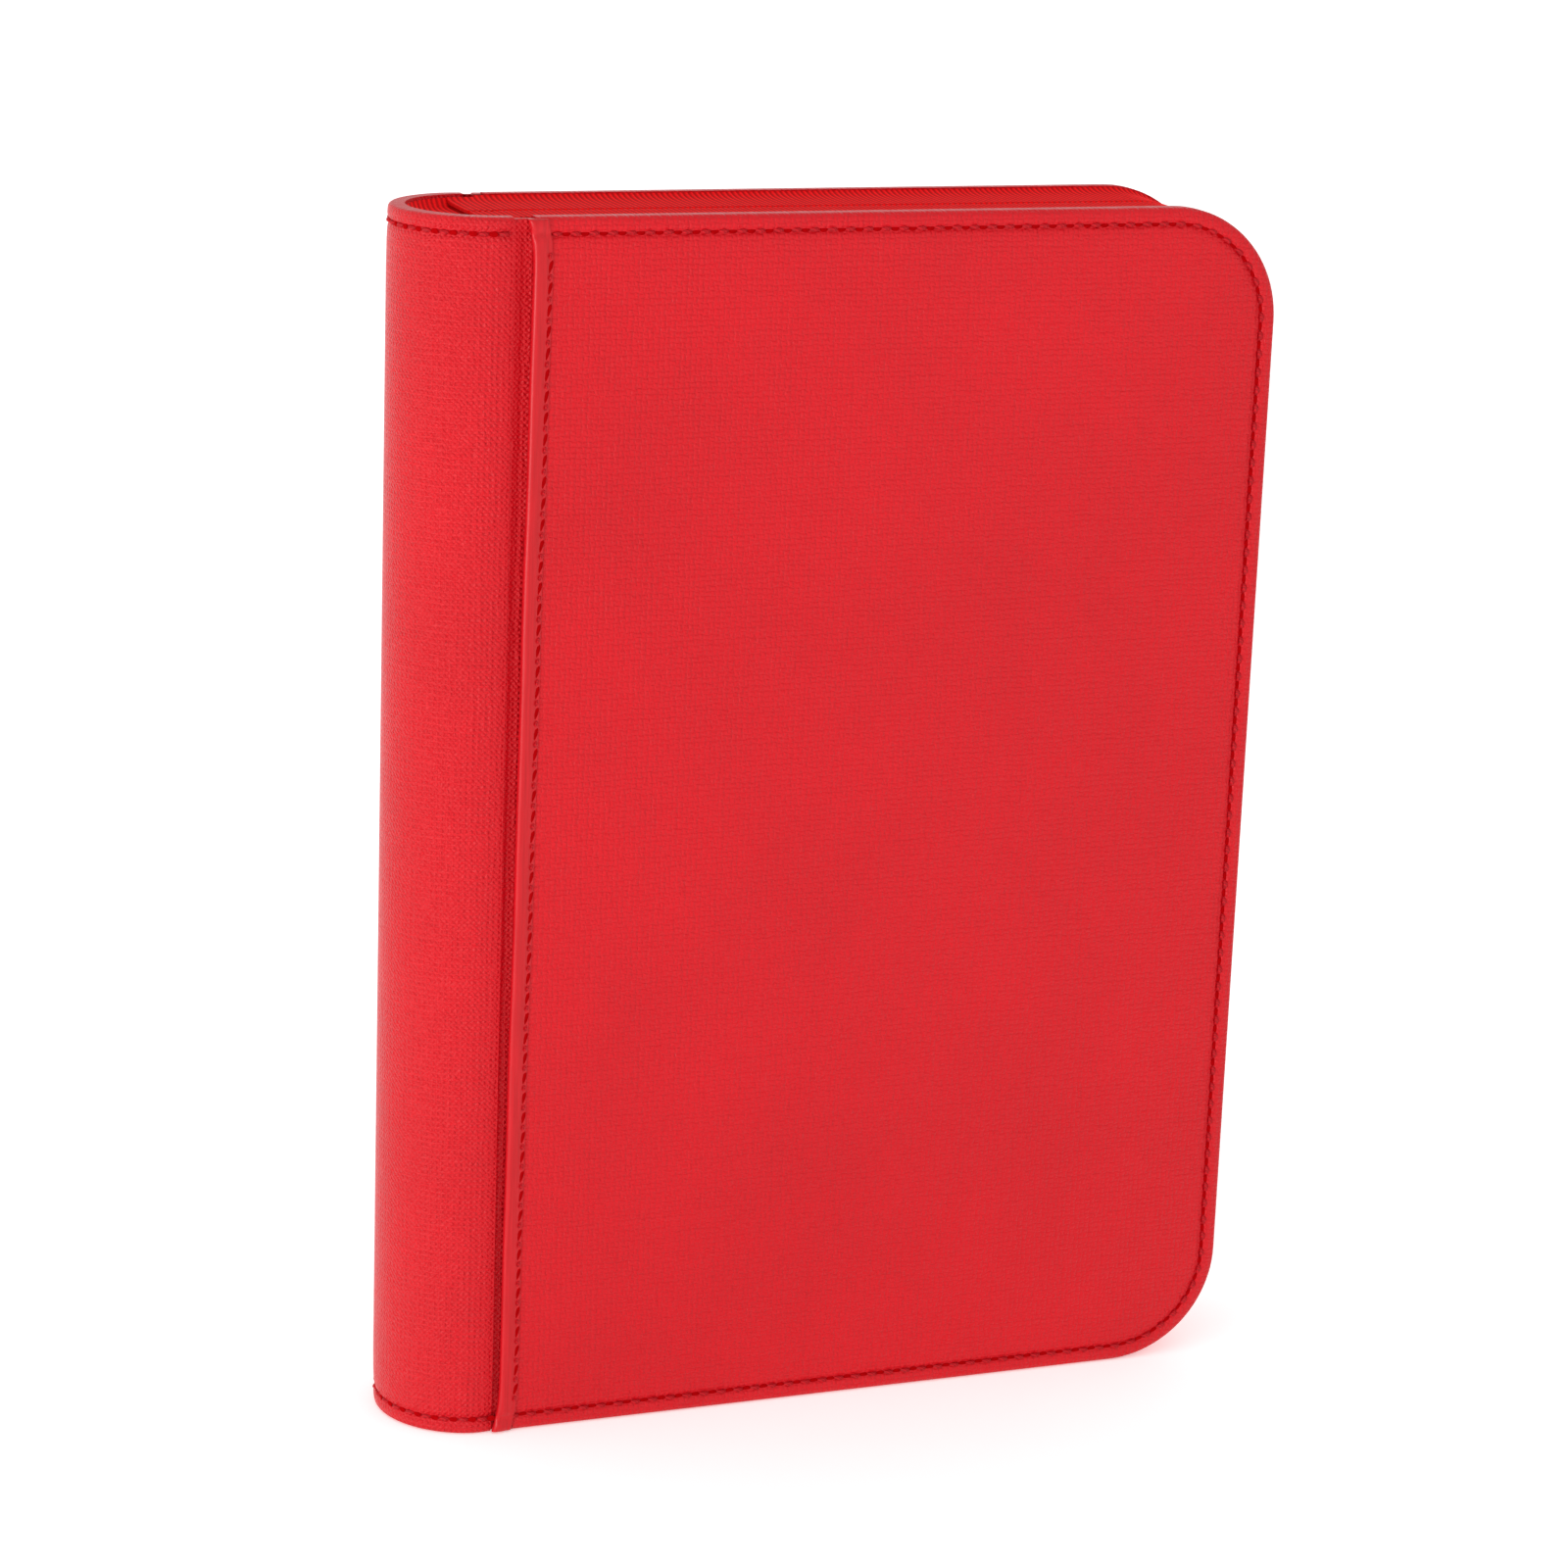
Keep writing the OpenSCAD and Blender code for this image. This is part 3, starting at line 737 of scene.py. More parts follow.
def fold_roll(side):
    """The folded edge of the cover beside the spine: a round lip towards the spine and a band
    that sinks to the panel under the fold stitches."""
    size, sign = sizes(), SIDES[side]
    h, w = size.roll_h, size.roll_w
    # Distances are in millimetres on a fold 3.3 mm wide, heights in shares of its height
    lip = [(0.0, -1.1), (-0.25, -0.6), (-0.33, -0.1), (-0.28, 0.3), (-0.1, 0.7), (0.2, 0.94),
           (0.55, 1.0), (1.0, 0.9), (1.5, 0.8), (1.9, 0.72), (2.2, 0.55), (2.5, 0.42), (2.8, 0.5),
           (3.2, 0.4)]
    under = HALF_T - 0.75 * MM
    rings = []
    for z in upright_levels():
        start = COVER_X - 0.15 * MM + fold_shift(z)
        press = 1 - 0.6 * end_press(z)
        end = min(z, HEIGHT - z)
        tuck = 1 - 0.8 * max(0.0, 1 - end / (1.0 * MM)) ** 2
        ring = []
        for x, y in lip:
            rise = HALF_T + 0.05 * MM + y * h * (press * tuck if y > 0 else 1)
            ring.append(Vector((start + x * w / 3.3, sign * rise, z)))
        for x, y in ((w, HALF_T - 0.2 * MM), (w, under), (0.3 * w, under)):
            ring.append(Vector((start + x, sign * y, z)))
        rings.append(ring)
    piece = sweep(side + "_fold_roll", rings, 70)
    cloth_map(piece, flat_distance)
    finish_piece(piece, finish("roll"), None, "skin")
    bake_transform(piece)


class BINDER_OT_covers(bpy.types.Operator):
    """Build the two padded covers with their rolled edges"""

    bl_idname = "binder.covers"
    bl_label = "Covers"

    def execute(self, context):
        for side in SIDES:
            cover_panel(side)
            fold_roll(side)
        return {"FINISHED"}


# Heights above the spine's end stitches, and how far its wall stands out there, in millimetres
SPINE_WAVE = ((-1.3, 0.08), (-0.75, 0.0), (-0.3, -0.32), (0.15, -0.34), (0.6, -0.1),
              (1.4, 0.05), (3.5, 0.14), (8.0, 0.2))


def spine_swell(z):
    """How far the spine's padding stands out or is pressed in at a height."""
    groove = sizes().stitch_in / MM
    levels = [0.8] + [groove + rise for rise, _ in SPINE_WAVE]
    swells = [0.0] + [swell for _, swell in SPINE_WAVE]
    return float(np.interp(min(z, HEIGHT - z) / MM, levels, swells)) * MM


def spine_ease(x):
    """How much the spine's wall draws in beside its two folds, x from its axis towards them."""
    near = max(0.0, 1 + x / (6 * MM))
    return 0.5 * MM * near * near


def spine_profile():
    """The spine's wall seen from the side, as points of (distance from its axis, height): rolled
    at both ends and pressed in under the stitches."""
    inner, rim = HALF_T - 1.7 * MM, INNER_Y
    roll, groove = 0.8 * MM, sizes().stitch_in
    half = []
    for k in range(5):
        angle = math.pi / 2 * k / 4
        half.append((HALF_T - roll + roll * math.sin(angle), roll - roll * math.cos(angle)))
    half += [(HALF_T + swell * MM, groove + rise * MM) for rise, swell in SPINE_WAVE]
    outer = half + [(x, HEIGHT - z) for x, z in reversed(half)]
    back = [(rim, HEIGHT), (rim, HEIGHT - 0.75 * MM), (inner, HEIGHT - 0.75 * MM),
            (inner, 0.75 * MM), (rim, 0.75 * MM), (rim, 0)]
    return outer + back


class BINDER_OT_spine(bpy.types.Operator):
    """Build the half-round spine and the strips that join it to the covers"""

    bl_idname = "binder.spine"
    bl_label = "Spine"

    def execute(self, context):
        rings = []
        steps = 90
        for n in range(steps + 1):
            angle = -math.pi / 2 - math.pi * n / steps
            out = Vector((math.cos(angle), math.sin(angle), 0))
            drawn = spine_ease(out.x * HALF_T)
            ring = []
            for x, z in spine_profile():
                x -= drawn if x > INNER_Y + 2 * MM else 0
                ring.append(Vector((SPINE_X, 0, z)) + out * x)
            rings.append(ring)
        piece = sweep("spine_padding", rings, 40)
        cloth_map(piece, spine_distance)
        finish_piece(piece, finish("spine"), "spine", "skin", "spine_skin", "spine_foam")
        for side, sign in SIDES.items():
            self.strip(side, sign)
        return {"FINISHED"}

    def strip(self, side, sign):
        """The doubled strip of skin that bends on the real binder when a cover swings, built here
        in one
        fixed shape: it leaves the spine's curve, dips into the groove and runs under the folded
        edge."""
        curve = [(-2.6, 0.14), (-2.0, 0.02), (-1.4, -0.02), (-0.7, -0.02), (0.0, -0.02),
                 (0.4, 0.06), (0.8, 0.16), (1.2, 0.3), (1.6, 0.46), (1.9, 0.58), (2.2, 0.66),
                 (2.6, 0.7), (3.3, 0.66), (4.2, 0.56), (5.4, 0.5)]
        thick = 0.8 * MM
        rings = []
        for z in upright_levels():
            end = min(z, HEIGHT - z)
            press = 0.3 * end_press(z)
            tuck = 0.5 * max(0.0, 1 - end / (0.9 * MM)) ** 2
            flush = 1 - 0.6 * max(0.0, 1 - end / (8 * MM))
            shift = fold_shift(z) / MM
            outer, inner = [], []
            for x, d in curve:
                share = min(1.0, max(0.0, (x + 0.6) / 2.8))
                turn = math.asin(min(0.0, x * MM) / HALF_T)
                d = (d if x <= 0 else d * flush) * MM - spine_swell(z) * (1 - share)
                d += (press * share + tuck) * MM + spine_ease(min(0.0, x * MM))
                d += HALF_T * (1 - math.cos(turn))
                x += shift * share * (1 if x < 4 else 0.4)
                outer.append(Vector((SPINE_X + x * MM, sign * (HALF_T - d), z)))
                inner.append(Vector((SPINE_X + x * MM, sign * (HALF_T - d - thick), z)))
            rings.append(outer + inner[::-1])
        piece = sweep(side + "_hinge_strip", rings, 60)
        cloth_map(piece, spine_distance)
        finish_piece(piece, finish("spine"), None, "skin", side + "_hinge_fold")
        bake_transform(piece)


def stitch_seed(stitch_l, width, lift):
    """One stitch: a short length of thread, humped in the middle and sunk at both ends, lying
    along X with its top towards Z."""
    nothing_selected()
    bpy.ops.mesh.primitive_cylinder_add(vertices=8, radius=width / 2, depth=stitch_l,
                                        rotation=(0, math.pi / 2, 0))
    bpy.ops.object.transform_apply(location=True, rotation=True, scale=True)
    piece = fresh("stitch")
    bpy.ops.object.mode_set(mode="EDIT")
    for share in (-0.3, 0.0, 0.3):
        bpy.ops.mesh.select_all(action="SELECT")
        bpy.ops.mesh.bisect(plane_co=(share * stitch_l, 0, 0), plane_no=(1, 0, 0))
    bpy.ops.object.mode_set(mode="OBJECT")
    for vertex in piece.data.vertices:
        share = abs(vertex.co.x) / (stitch_l / 2)
        vertex.co.z = vertex.co.z * (1 - 0.35 * share ** 2) + lift * (1 - 2.2 * share ** 2)
        vertex.co.y *= 1 - 0.25 * share ** 2
    return piece


def hole_seed(hole_l, width):
    """One needle hole: a shallow dimple, painted dark as the hole's shadow, long along X."""
    nothing_selected()
    bpy.ops.mesh.primitive_uv_sphere_add(segments=10, ring_count=6, radius=0.5)
    bpy.ops.transform.resize(value=(hole_l, width, 0.22 * MM))
    bpy.ops.object.transform_apply(location=True, rotation=True, scale=True)
    return fresh("hole")


def sewn(name, places, pitch, body, node, stitch_l, width=0.85, hole=(1.65, 1.12), slant=0.0):
    """Stitches at the given places, with a dimple painted dark as a needle hole's shadow half a
    step after each but the last. Lengths and widths are in millimetres."""
    turn = Matrix.Rotation(math.radians(slant), 4, "Z")
    seed = stitch_seed(stitch_l * MM, width * MM, 0.2 * MM)
    threads = copies(name, seed, [p @ turn for p in places])
    finish_piece(threads, finish("thread"), body, "thread", node)
    # Dark dimples: the painted shadow in each needle hole
    dimple = hole_seed(hole[0] * MM, hole[1] * MM)
    holes = copies(name.replace("thread", "painted_needle_shadows"), dimple,
                   [p @ Matrix.Translation((pitch / 2, 0, 0)) @ turn for p in places[:-1]])
    finish_piece(holes, finish("hole"), body, "thread")


class BINDER_OT_stitching(bpy.types.Operator):
    """Sew the covers, the folds, the spine and the leaf binding"""

    bl_idname = "binder.stitching"
    bl_label = "Stitching"

    def execute(self, context):
        size = sizes()
        floor = HALF_T - STITCH_BED
        for side, sign in SIDES.items():
            up = Vector((0, sign, 0))
            walk = edge_walk(size.stitch_pitch, size.stitch_in, COVER_X - 1.4 * MM)
            spots = [place(e + i * size.stitch_in + up * floor, a, up) for e, i, a in walk]
            sewn(side + "_edge_thread", spots, size.stitch_pitch, side + "_cover",
                 side + "_edge_stitching", 1.9)
            run = HEIGHT - 2 * size.stitch_in - 1.5 * size.fold_pitch
            count = int(run / size.fold_pitch)
            lowest = MIDDLE_Z - count * size.fold_pitch / 2
            level = up * (HALF_T + 0.42 * MM)
            column = []
            for n in range(count + 1):
                z = lowest + n * size.fold_pitch
                lean = (fold_shift(z + MM) - fold_shift(z - MM)) / (2 * MM)
                spot = Vector((COVER_X + size.fold_stitch_in + fold_shift(z), 0, z)) + level
                column.append(place(spot, (lean, 0, 1), up))
            sewn(side + "_fold_thread", column, size.fold_pitch, side + "_cover",
                 side + "_fold_stitching", 1.4, 0.5, (2.5, 0.75), 14.0 * sign)
        self.spine_rows()
        self.binding()
        return {"FINISHED"}

    def spine_rows(self):
        size = sizes()
        r = HALF_T - STITCH_BED
        count = int(math.pi * r / size.stitch_pitch)
        spots = []
        for z in (size.stitch_in, HEIGHT - size.stitch_in):
            for n in range(count):
                angle = math.pi / 2 + math.pi * (n + 0.5) / count
                out = Vector((math.cos(angle), math.sin(angle), 0))
                spots.append(place(Vector((SPINE_X, 0, z)) + out * r,
                                   (-math.sin(angle), math.cos(angle), 0), out))
        sewn("spine_edge_thread", spots, size.stitch_pitch, "spine", "spine_stitching", 1.9)

    def binding(self):
        """Long stitches that hold the leaf margins between their webbings."""
        spots = []
        pitch, stitch_l = 8 * MM, 5 * MM
        count = int((WEB_HIGH.z - WEB_LOW.z) / pitch)
        for sign in SIDES.values():
            up = Vector((0, sign, 0))
            for n in range(count):
                z = MIDDLE_Z + (n + 0.5 - count / 2) * pitch
                spots.append(place((SPINE_X, sign * -WEB_LOW.y, z), (0, 0, 1), up))
        piece = copies("binding_thread", stitch_seed(stitch_l, 0.5 * MM, 0.12 * MM), spots)
        finish_piece(piece, finish("thread"), "spine", "thread", "binding_stitching")


def tape_piece(side, sign):
    """One zip tape: woven ribs across its width, a hem sewn inside the cover, and the slope down
    to the slider's run at the foot."""
    size = sizes()
    walk = edge_walk(size.rib_pitch / len(RIB_SHAPE), 1.5 * MM, ZIP_X, 0)
    rings, crests = [], []
    for n, (edge, inward, _) in enumerate(walk):
        crests.append(crest_of(n))
        section = tape_section(zip_depth(edge), crests[-1])
        rings.append([edge + inward * d + Vector((0, sign * y, 0)) for y, d in section])
    piece = ribbed(side + "_ribbed_tape", rings, crests)
    finish_piece(piece, finish("tape"), side + "_cover", "zip_tape", side + "_zip_tape")


def tape_tail(name, sign, lift_z, flip):
    """The tape's tail on the spine's gusset, from the end of the zip to its turned-in end."""
    size = sizes()
    start, end = ZIP_X + 0.1 * MM, SPINE_X - 3.2 * MM
    count = int((start - end) / size.rib_pitch * len(RIB_SHAPE))
    rings, crests = [], []
    for n in range(count + 1):
        x = start + (end - start) * n / count
        crests.append(crest_of(n))
        top = lift_z - crests[-1] * size.rib_h
        wide = INNER_Y - 0.5 * MM
        climb = [(wide - u, wall_depth(top, u + 0.5 * MM)) for u in (2.4 * MM, 1.2 * MM, 0)]
        ring = [(0.5 * MM, top), (wide * 0.5, top)] + climb
        ring += [(y, d + 0.6 * MM) for y, d in reversed(ring)]
        rings.append([Vector((x, sign * y, HEIGHT - d if flip else d)) for y, d in ring])
    piece = ribbed(name, rings, crests)
    return finish_piece(piece, finish("tape"), "spine", "zip_tape")


def gusset_piece(name, node, depth, flip):
    """The ribbed cloth that closes one end of the spine: a half-round floor of cross ribs with a
    hem turned in along the spine's wall."""
    size = sizes()
    r = INNER_Y - 0.12 * MM
    start, end = SPINE_X + 1.1 * MM, SPINE_X - r + 0.25 * MM
    count = int((start - end) / size.rib_pitch * len(RIB_SHAPE))
    rings, crests = [], []
    for n in range(count + 1):
        x = start + (end - start) * n / count
        wide = math.sqrt(max(r * r - min(0.0, x - SPINE_X) ** 2, 0.0))
        wide = min(wide, r) if x <= SPINE_X else r - 0.9 * MM
        crests.append(crest_of(n))
        top = depth - crests[-1] * size.rib_h
        ring = []
        for share in (-1, -0.95, -0.88, -0.75, -0.4, 0, 0.4, 0.75, 0.88, 0.95, 1):
            far = math.hypot(min(0.0, x - SPINE_X), share * wide) / r
            climb = max(0.0, (far - 0.86) / 0.14) ** 1.5
            ring.append((share * wide, top + (0.6 * MM - top) * min(1.0, climb)))
        ring += [(share * wide, depth + 0.6 * MM) for share in (1, 0.5, 0, -0.5, -1)]
        rings.append([Vector((x, y, HEIGHT - d if flip else d)) for y, d in ring])
    piece = ribbed(name, rings, crests)
    finish_piece(piece, finish("tape"), "spine", "zip_tape", node)


class BINDER_OT_zip_tapes(bpy.types.Operator):
    """Build the ribbed zip tapes, their tails and the gussets of the spine"""

    bl_idname = "binder.zip_tapes"
    bl_label = "Zip tapes"

    def execute(self, context):
        size = sizes()
        for side, sign in SIDES.items():
            tape_piece(side, sign)
        for end, depth in (("head", size.dip), ("foot", size.low_dip)):
            tails = [tape_tail(side + "_" + end + "_tail", sign, depth + 0.05 * MM, end == "head")
                     for side, sign in SIDES.items()]
            gusset_piece(end + "_gusset_cloth", "spine_" + end + "_gusset", depth + 1.1 * MM,
                         end == "head")
        return {"FINISHED"}


def tooth_seed(sign):
    """One turn of the coil: a flattened loop of nylon with a thicker head at its tip."""
    reach = (COIL_HIGH.y - COIL_LOW.y) + 0.45 * MM
    low = (-0.3 * MM, -reach / 2, -0.65 * MM)
    high = (0.3 * MM, reach / 2, 0.65 * MM)
    piece = start_cube("tooth", low, high)
    bpy.ops.object.mode_set(mode="EDIT")
    bpy.ops.mesh.select_all(action="SELECT")
    for share in (0.1, 0.3):
        bpy.ops.mesh.bisect(plane_co=(0, -sign * share * reach, 0), plane_no=(0, 1, 0))
        bpy.ops.mesh.select_all(action="SELECT")
    bpy.ops.object.mode_set(mode="OBJECT")
    for vertex in piece.data.vertices:
        tip = -sign * vertex.co.y / reach
        vertex.co.x *= 0.8 if tip < 0.2 else (1.25 if tip < 0.4 else 0.7)
        vertex.co.z *= 0.75 if tip > 0.45 else 1.0
    pick(piece, edges=lambda a, b: abs(a.z - b.z) < 1e-7 and abs(a.x - b.x) < 1e-4)
    bpy.ops.mesh.bevel(offset=0.12 * MM, segments=1, affect="EDGES")
    bpy.ops.object.mode_set(mode="OBJECT")
    return piece


class BINDER_OT_zip_chain(bpy.types.Operator):
    """Build the two half-chains of nylon teeth"""

    bl_idname = "binder.zip_chain"
    bl_label = "Zip chain"

    def execute(self, context):
        size = sizes()
        coil_h = 1.6 * MM
        for side, sign in SIDES.items():
            middle = (-COIL_LOW.y + -COIL_HIGH.y) / 2 - 0.22 * MM
            walk = edge_walk(size.tooth_pitch, size.dip + size.tape_t + coil_h / 2,
                             ZIP_X + 3 * MM, 0.25 if sign < 0 else 0.75)
            spots = []
            for edge, inward, along in walk:
                depth = zip_depth(edge) + size.tape_t + coil_h / 2
                spots.append(self.spot(edge + inward * depth + Vector((0, sign * middle, 0)),
                                       along, inward))
            piece = copies(side + "_coil_teeth", tooth_seed(sign), spots)
            finish_piece(piece, finish("coil"), side + "_cover", "zip_coil", side + "_zip_coil")
        return {"FINISHED"}

    def spot(self, origin, along, inward):
        """A matrix that keeps Y as it is, with X along the zip and Z inwards."""
        matrix = Matrix((along, Vector((0, 1, 0)), inward)).transposed().to_4x4()
        matrix.translation = origin
        return matrix


def hoop(centre, out, side):
    """Ten points round a bar: out and side are its half-widths, each with its direction."""
    turns = [2 * math.pi * k / 10 for k in range(10)]
    return [centre + out * math.cos(turn) + side * math.sin(turn) for turn in turns]


class BINDER_OT_slider(bpy.types.Operator):
    """Build the zip's slider and its pull"""

    bl_idname = "binder.slider"
    bl_label = "Slider"

    def execute(self, context):
        hinge = Vector(JOINTS["pull_hinge"]["pos_m"])
        self.slider(hinge)
        self.pull(hinge)
        return {"FINISHED"}

    def plate(self, name, low, high, corner, edge):
        """A plate with rounded corners and softened edges."""
        piece = start_cube(name, low, high)
        pick(piece, edges=lambda a, b: abs(a.z - b.z) > 1e-5)
        bpy.ops.mesh.bevel(offset=corner, segments=5, affect="EDGES")
        pick(piece, edges=lambda a, b: abs(a.z - b.z) < 1e-7)
        bpy.ops.mesh.bevel(offset=edge, segments=2, affect="EDGES")
        close_edit(piece, 35)
        return piece

    def slider(self, hinge):
        size = sizes()
        low, high = SLIDER_LOW, SLIDER_HIGH
        t = 1.0 * MM
        outer = size.low_dip - 0.3 * MM
        parts = [self.plate("face", (low.x, low.y, outer - t), (high.x, high.y, outer), 2.2 * MM,
                            0.25 * MM),
                 self.plate("back", (low.x, low.y, high.z - t), (high.x, high.y, high.z), 2.2 * MM,
                            0.25 * MM),
                 self.plate("post", (low.x + 0.4 * MM, -0.35 * MM, outer - 0.2 * MM),
                            (low.x + 4 * MM, 0.35 * MM, high.z - t + 0.2 * MM), 0.2 * MM,
                            0.05 * MM),
                 self.plate("wall", (low.x + 1.2 * MM, high.y - 1.3 * MM, outer + 1.5 * MM),
                            (high.x - 1.2 * MM, high.y - 0.1 * MM, high.z - 0.3 * MM), 0.3 * MM,
                            0.1 * MM)]
        rings = []
        steps = 16
        foot = Vector((hinge.x, 0, outer - t + 0.1 * MM))
        for n in range(steps + 1):
            angle = math.pi * n / steps
            out = Vector((math.cos(angle), 0, -math.sin(angle))) * 1.35 * MM
            rings.append(hoop(foot + out * 1.65, out * 0.42, Vector((0, 1.1 * MM, 0))))
        parts.append(sweep("bridge", rings, 60))
        piece = joined("slider_body", parts)
        finish_piece(piece, finish("metal"), "slider", "zip_metal", "zip_slider")

    def pull(self, hinge):
        """A flat tab with a sunken grip, on a ring that passes under the bridge."""
        low, high = PULL_LOW, PULL_HIGH
        half = (high.y - low.y) / 2
        z0, z1 = low.z, high.z
        tab = self.plate("tab", (hinge.x + 4.2 * MM, -half, z0), (high.x, half, z1), 2.6 * MM,
                         0.25 * MM)
        pick(tab, facing=(0, 0, -1))
        bpy.ops.mesh.inset(thickness=1.0 * MM, depth=0)
        bpy.ops.mesh.inset(thickness=0.3 * MM, depth=-0.25 * MM)
        close_edit(tab, 35)
        rings = []
        steps = 40
        middle = Vector((hinge.x + 2.3 * MM, 0, (z0 + z1) / 2))
        for n in range(steps):
            angle = 2 * math.pi * n / steps
            out = Vector((math.cos(angle), math.sin(angle), 0))
            centre = middle + Vector((out.x * 2.3 * MM, out.y * (half - 0.6 * MM), 0))
            rings.append(hoop(centre, out * 0.55 * MM, Vector((0, 0, 0.55 * MM))))
        rings.append(rings[0])
        ring_piece = sweep("ring", rings, 60)
        bpy.ops.object.mode_set(mode="EDIT")
        bpy.ops.mesh.select_all(action="SELECT")
        bpy.ops.mesh.delete_loose()
        bpy.ops.object.mode_set(mode="OBJECT")
        piece = joined("pull_tab", [tab, ring_piece])
        finish_piece(piece, finish("metal"), "pull", "zip_metal", "zip_pull")


def lining_sheet(side, sign):
    """The nylon lining of one cover, turned in along its border."""
    r = sizes().corner_r
    gap = 0.8 * MM
    low = (COVER_X + gap, min(sign * -LINING_LOW.y, sign * -LINING_HIGH.y), gap)
    high = (FORE_X - gap, max(sign * -LINING_LOW.y, sign * -LINING_HIGH.y), HEIGHT - gap)
    piece = start_cube(side + "_lining_cloth", low, high)
    pick(piece, edges=lambda a, b: abs(a.y - b.y) > 1e-5 and min(a.x, b.x) > high[0] - MM)
    bpy.ops.mesh.bevel(offset=r - gap, segments=24, affect="EDGES")
    pick(piece, facing=(0, -sign, 0))
    for thickness, rise in ((6.4 * MM, 0.0), (0.5 * MM, -0.12), (0.5 * MM, 0.1), (9 * MM, 0.04)):
        bpy.ops.mesh.inset(thickness=thickness, depth=rise * MM, use_even_offset=True)
    close_edit(piece, 40)
    finish_piece(piece, finish("nylon"), side + "_cover", "lining", side + "_cover_lining")


class BINDER_OT_linings(bpy.types.Operator):
    """Build the linings and the webbing that holds the leaves"""

    bl_idname = "binder.linings"
    bl_label = "Linings"

    def execute(self, context):
        for side, sign in SIDES.items():
            lining_sheet(side, sign)
            self.webbing(side, sign)
        self.spine_lining()
        return {"FINISHED"}

    def webbing(self, side, sign):
        """Woven webbing: lengthwise ribs with thick selvedges."""
        low, high = WEB_LOW, WEB_HIGH
        rings = []
        count = 24
        y_in, y_out = sign * -high.y, sign * -low.y
        profile = []
        for n in range(count + 1):
            share = n / count
            rib = 0.12 * MM * (n % 2) if 0 < n < count else 0.05 * MM
            profile.append((low.x + share * (high.x - low.x), y_out + sign * (rib - 0.1 * MM)))
        for n in range(46):
            z = low.z + (high.z - low.z) * n / 45
            wave = 0.05 * MM * math.sin(n * 1.3)
            outer = [Vector((x, y + sign * wave, z)) for x, y in profile]
            inner = [Vector((x, y_in, z)) for x, _ in reversed(profile)]
            rings.append(outer + inner)
        piece = sweep(side + "_webbing", rings, 40)
        finish_piece(piece, finish("nylon"), "spine", "webbing", side + "_binding_web")

    def spine_lining(self):
        rings = []
        steps = 60
        low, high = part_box("spine_lining")
        outer_r = SPINE_X - low.x
        inner_r = outer_r - 0.4 * MM
        levels = (low.z, (low.z + high.z) / 2, high.z)
        for n in range(steps + 1):
            angle = math.pi / 2 + math.pi * n / steps
            out = Vector((math.cos(angle), math.sin(angle), 0))
            rings.append([Vector((SPINE_X, 0, z)) + out * outer_r for z in levels]
                         + [Vector((SPINE_X, 0, z)) + out * inner_r for z in levels[::-1]])
        piece = sweep("spine_lining_cloth", rings, 40)
        finish_piece(piece, finish("nylon"), "spine", "lining", "spine_lining")


class BINDER_OT_leaves(bpy.types.Operator):
    """Build the leaves, each with eight pockets welded to a black sheet"""

    bl_idname = "binder.leaves"
    bl_label = "Leaves"

    def execute(self, context):
        for node in LEAVES:
            self.leaf(node)
        return {"FINISHED"}

    def leaf(self, node):
        """The sheet first, then four films on each face, each dished along its welds."""
        size = sizes()
        low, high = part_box(node)
        centre = JOINTS[node + "_turn"]["pos_m"][1]
        sheet_t, weld = 0.2 * MM, size.weld_w
        sheet = start_cube("sheet", (LEAF_X, centre - sheet_t / 2, low.z),
                           (high.x, centre + sheet_t / 2, high.z))
        sheet.data.materials.append(finish("core"))
        left = LEAF_X + size.film_w
        middle_x, middle_z = (left + high.x) / 2, (low.z + high.z) / 2
        parts = [sheet]
        for sign in SIDES.values():
            for x0, x1 in ((left, middle_x), (middle_x, high.x)):
                for z0, z1 in ((low.z, middle_z), (middle_z, high.z)):
                    parts.append(self.film(centre, sign, sheet_t / 2, (x0, z0), (x1, z1), weld))
        piece = joined(node + "_pockets", parts)
        smooth_piece(piece, 30)
        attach(piece, node)
        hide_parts(node)

    def film(self, centre, sign, lift, corner, far, weld):
        """One pocket film: welded flat at its border and standing off in the middle."""
        base = centre + sign * (lift + 0.005 * MM)
        top = base + sign * 0.06 * MM
        low = (corner[0] + 0.2 * MM, min(base, top), corner[1] + 0.2 * MM)
        high = (far[0] - 0.2 * MM, max(base, top), far[1] - 0.2 * MM)
        piece = start_cube("film", low, high)
        pick(piece, facing=(0, sign, 0))
        bpy.ops.mesh.inset(thickness=weld / 2, depth=0)
        bpy.ops.mesh.inset(thickness=0.6 * MM, depth=0.08 * MM)
        bpy.ops.mesh.inset(thickness=5 * MM, depth=0.03 * MM)
        bpy.ops.object.mode_set(mode="OBJECT")
        piece.data.materials.append(finish("film"))
        return piece


class BINDER_OT_carried(bpy.types.Operator):
    """Finish the nodes that stay as they are: boards, leaf margins and zip stops"""

    bl_idname = "binder.carried"
    bl_label = "Boards, margins and stops"

    def execute(self, context):
        finishes = {"spine_board": "board", "leaf_margins": "core"}
        for side in SIDES:
            finishes[side + "_cover_board"] = "board"
            finishes[side + "_zip_stops"] = "metal"
        for node, name in finishes.items():
            mesh = frame["nodes"][node].data
            mesh.materials.clear()
            mesh.materials.append(finish(name))
        return {"FINISHED"}


# The stage: places in metres, directions as vectors, lights as (place, width and height, watts)
FLOOR_GLOW = 0.36  # lifts the paper to white, as an even backdrop
ROOM_LIGHT = 0.9
SOFT_BOXES = {"key": ((-1.02, -0.5, 0.15), (0.5, 0.27), 5.2),
              "fill": ((0.9, -1.5, 1.0), (1.2, 1.2), 1.2)}
CAMERA_SPOT = (-0.2912, -0.7335, 0.3281)
CAMERA_RIGHT = (0.9345, -0.3542, 0.0354)
CAMERA_FORWARD = (0.3509, 0.8998, -0.2594)
LENS_MM = 99.97


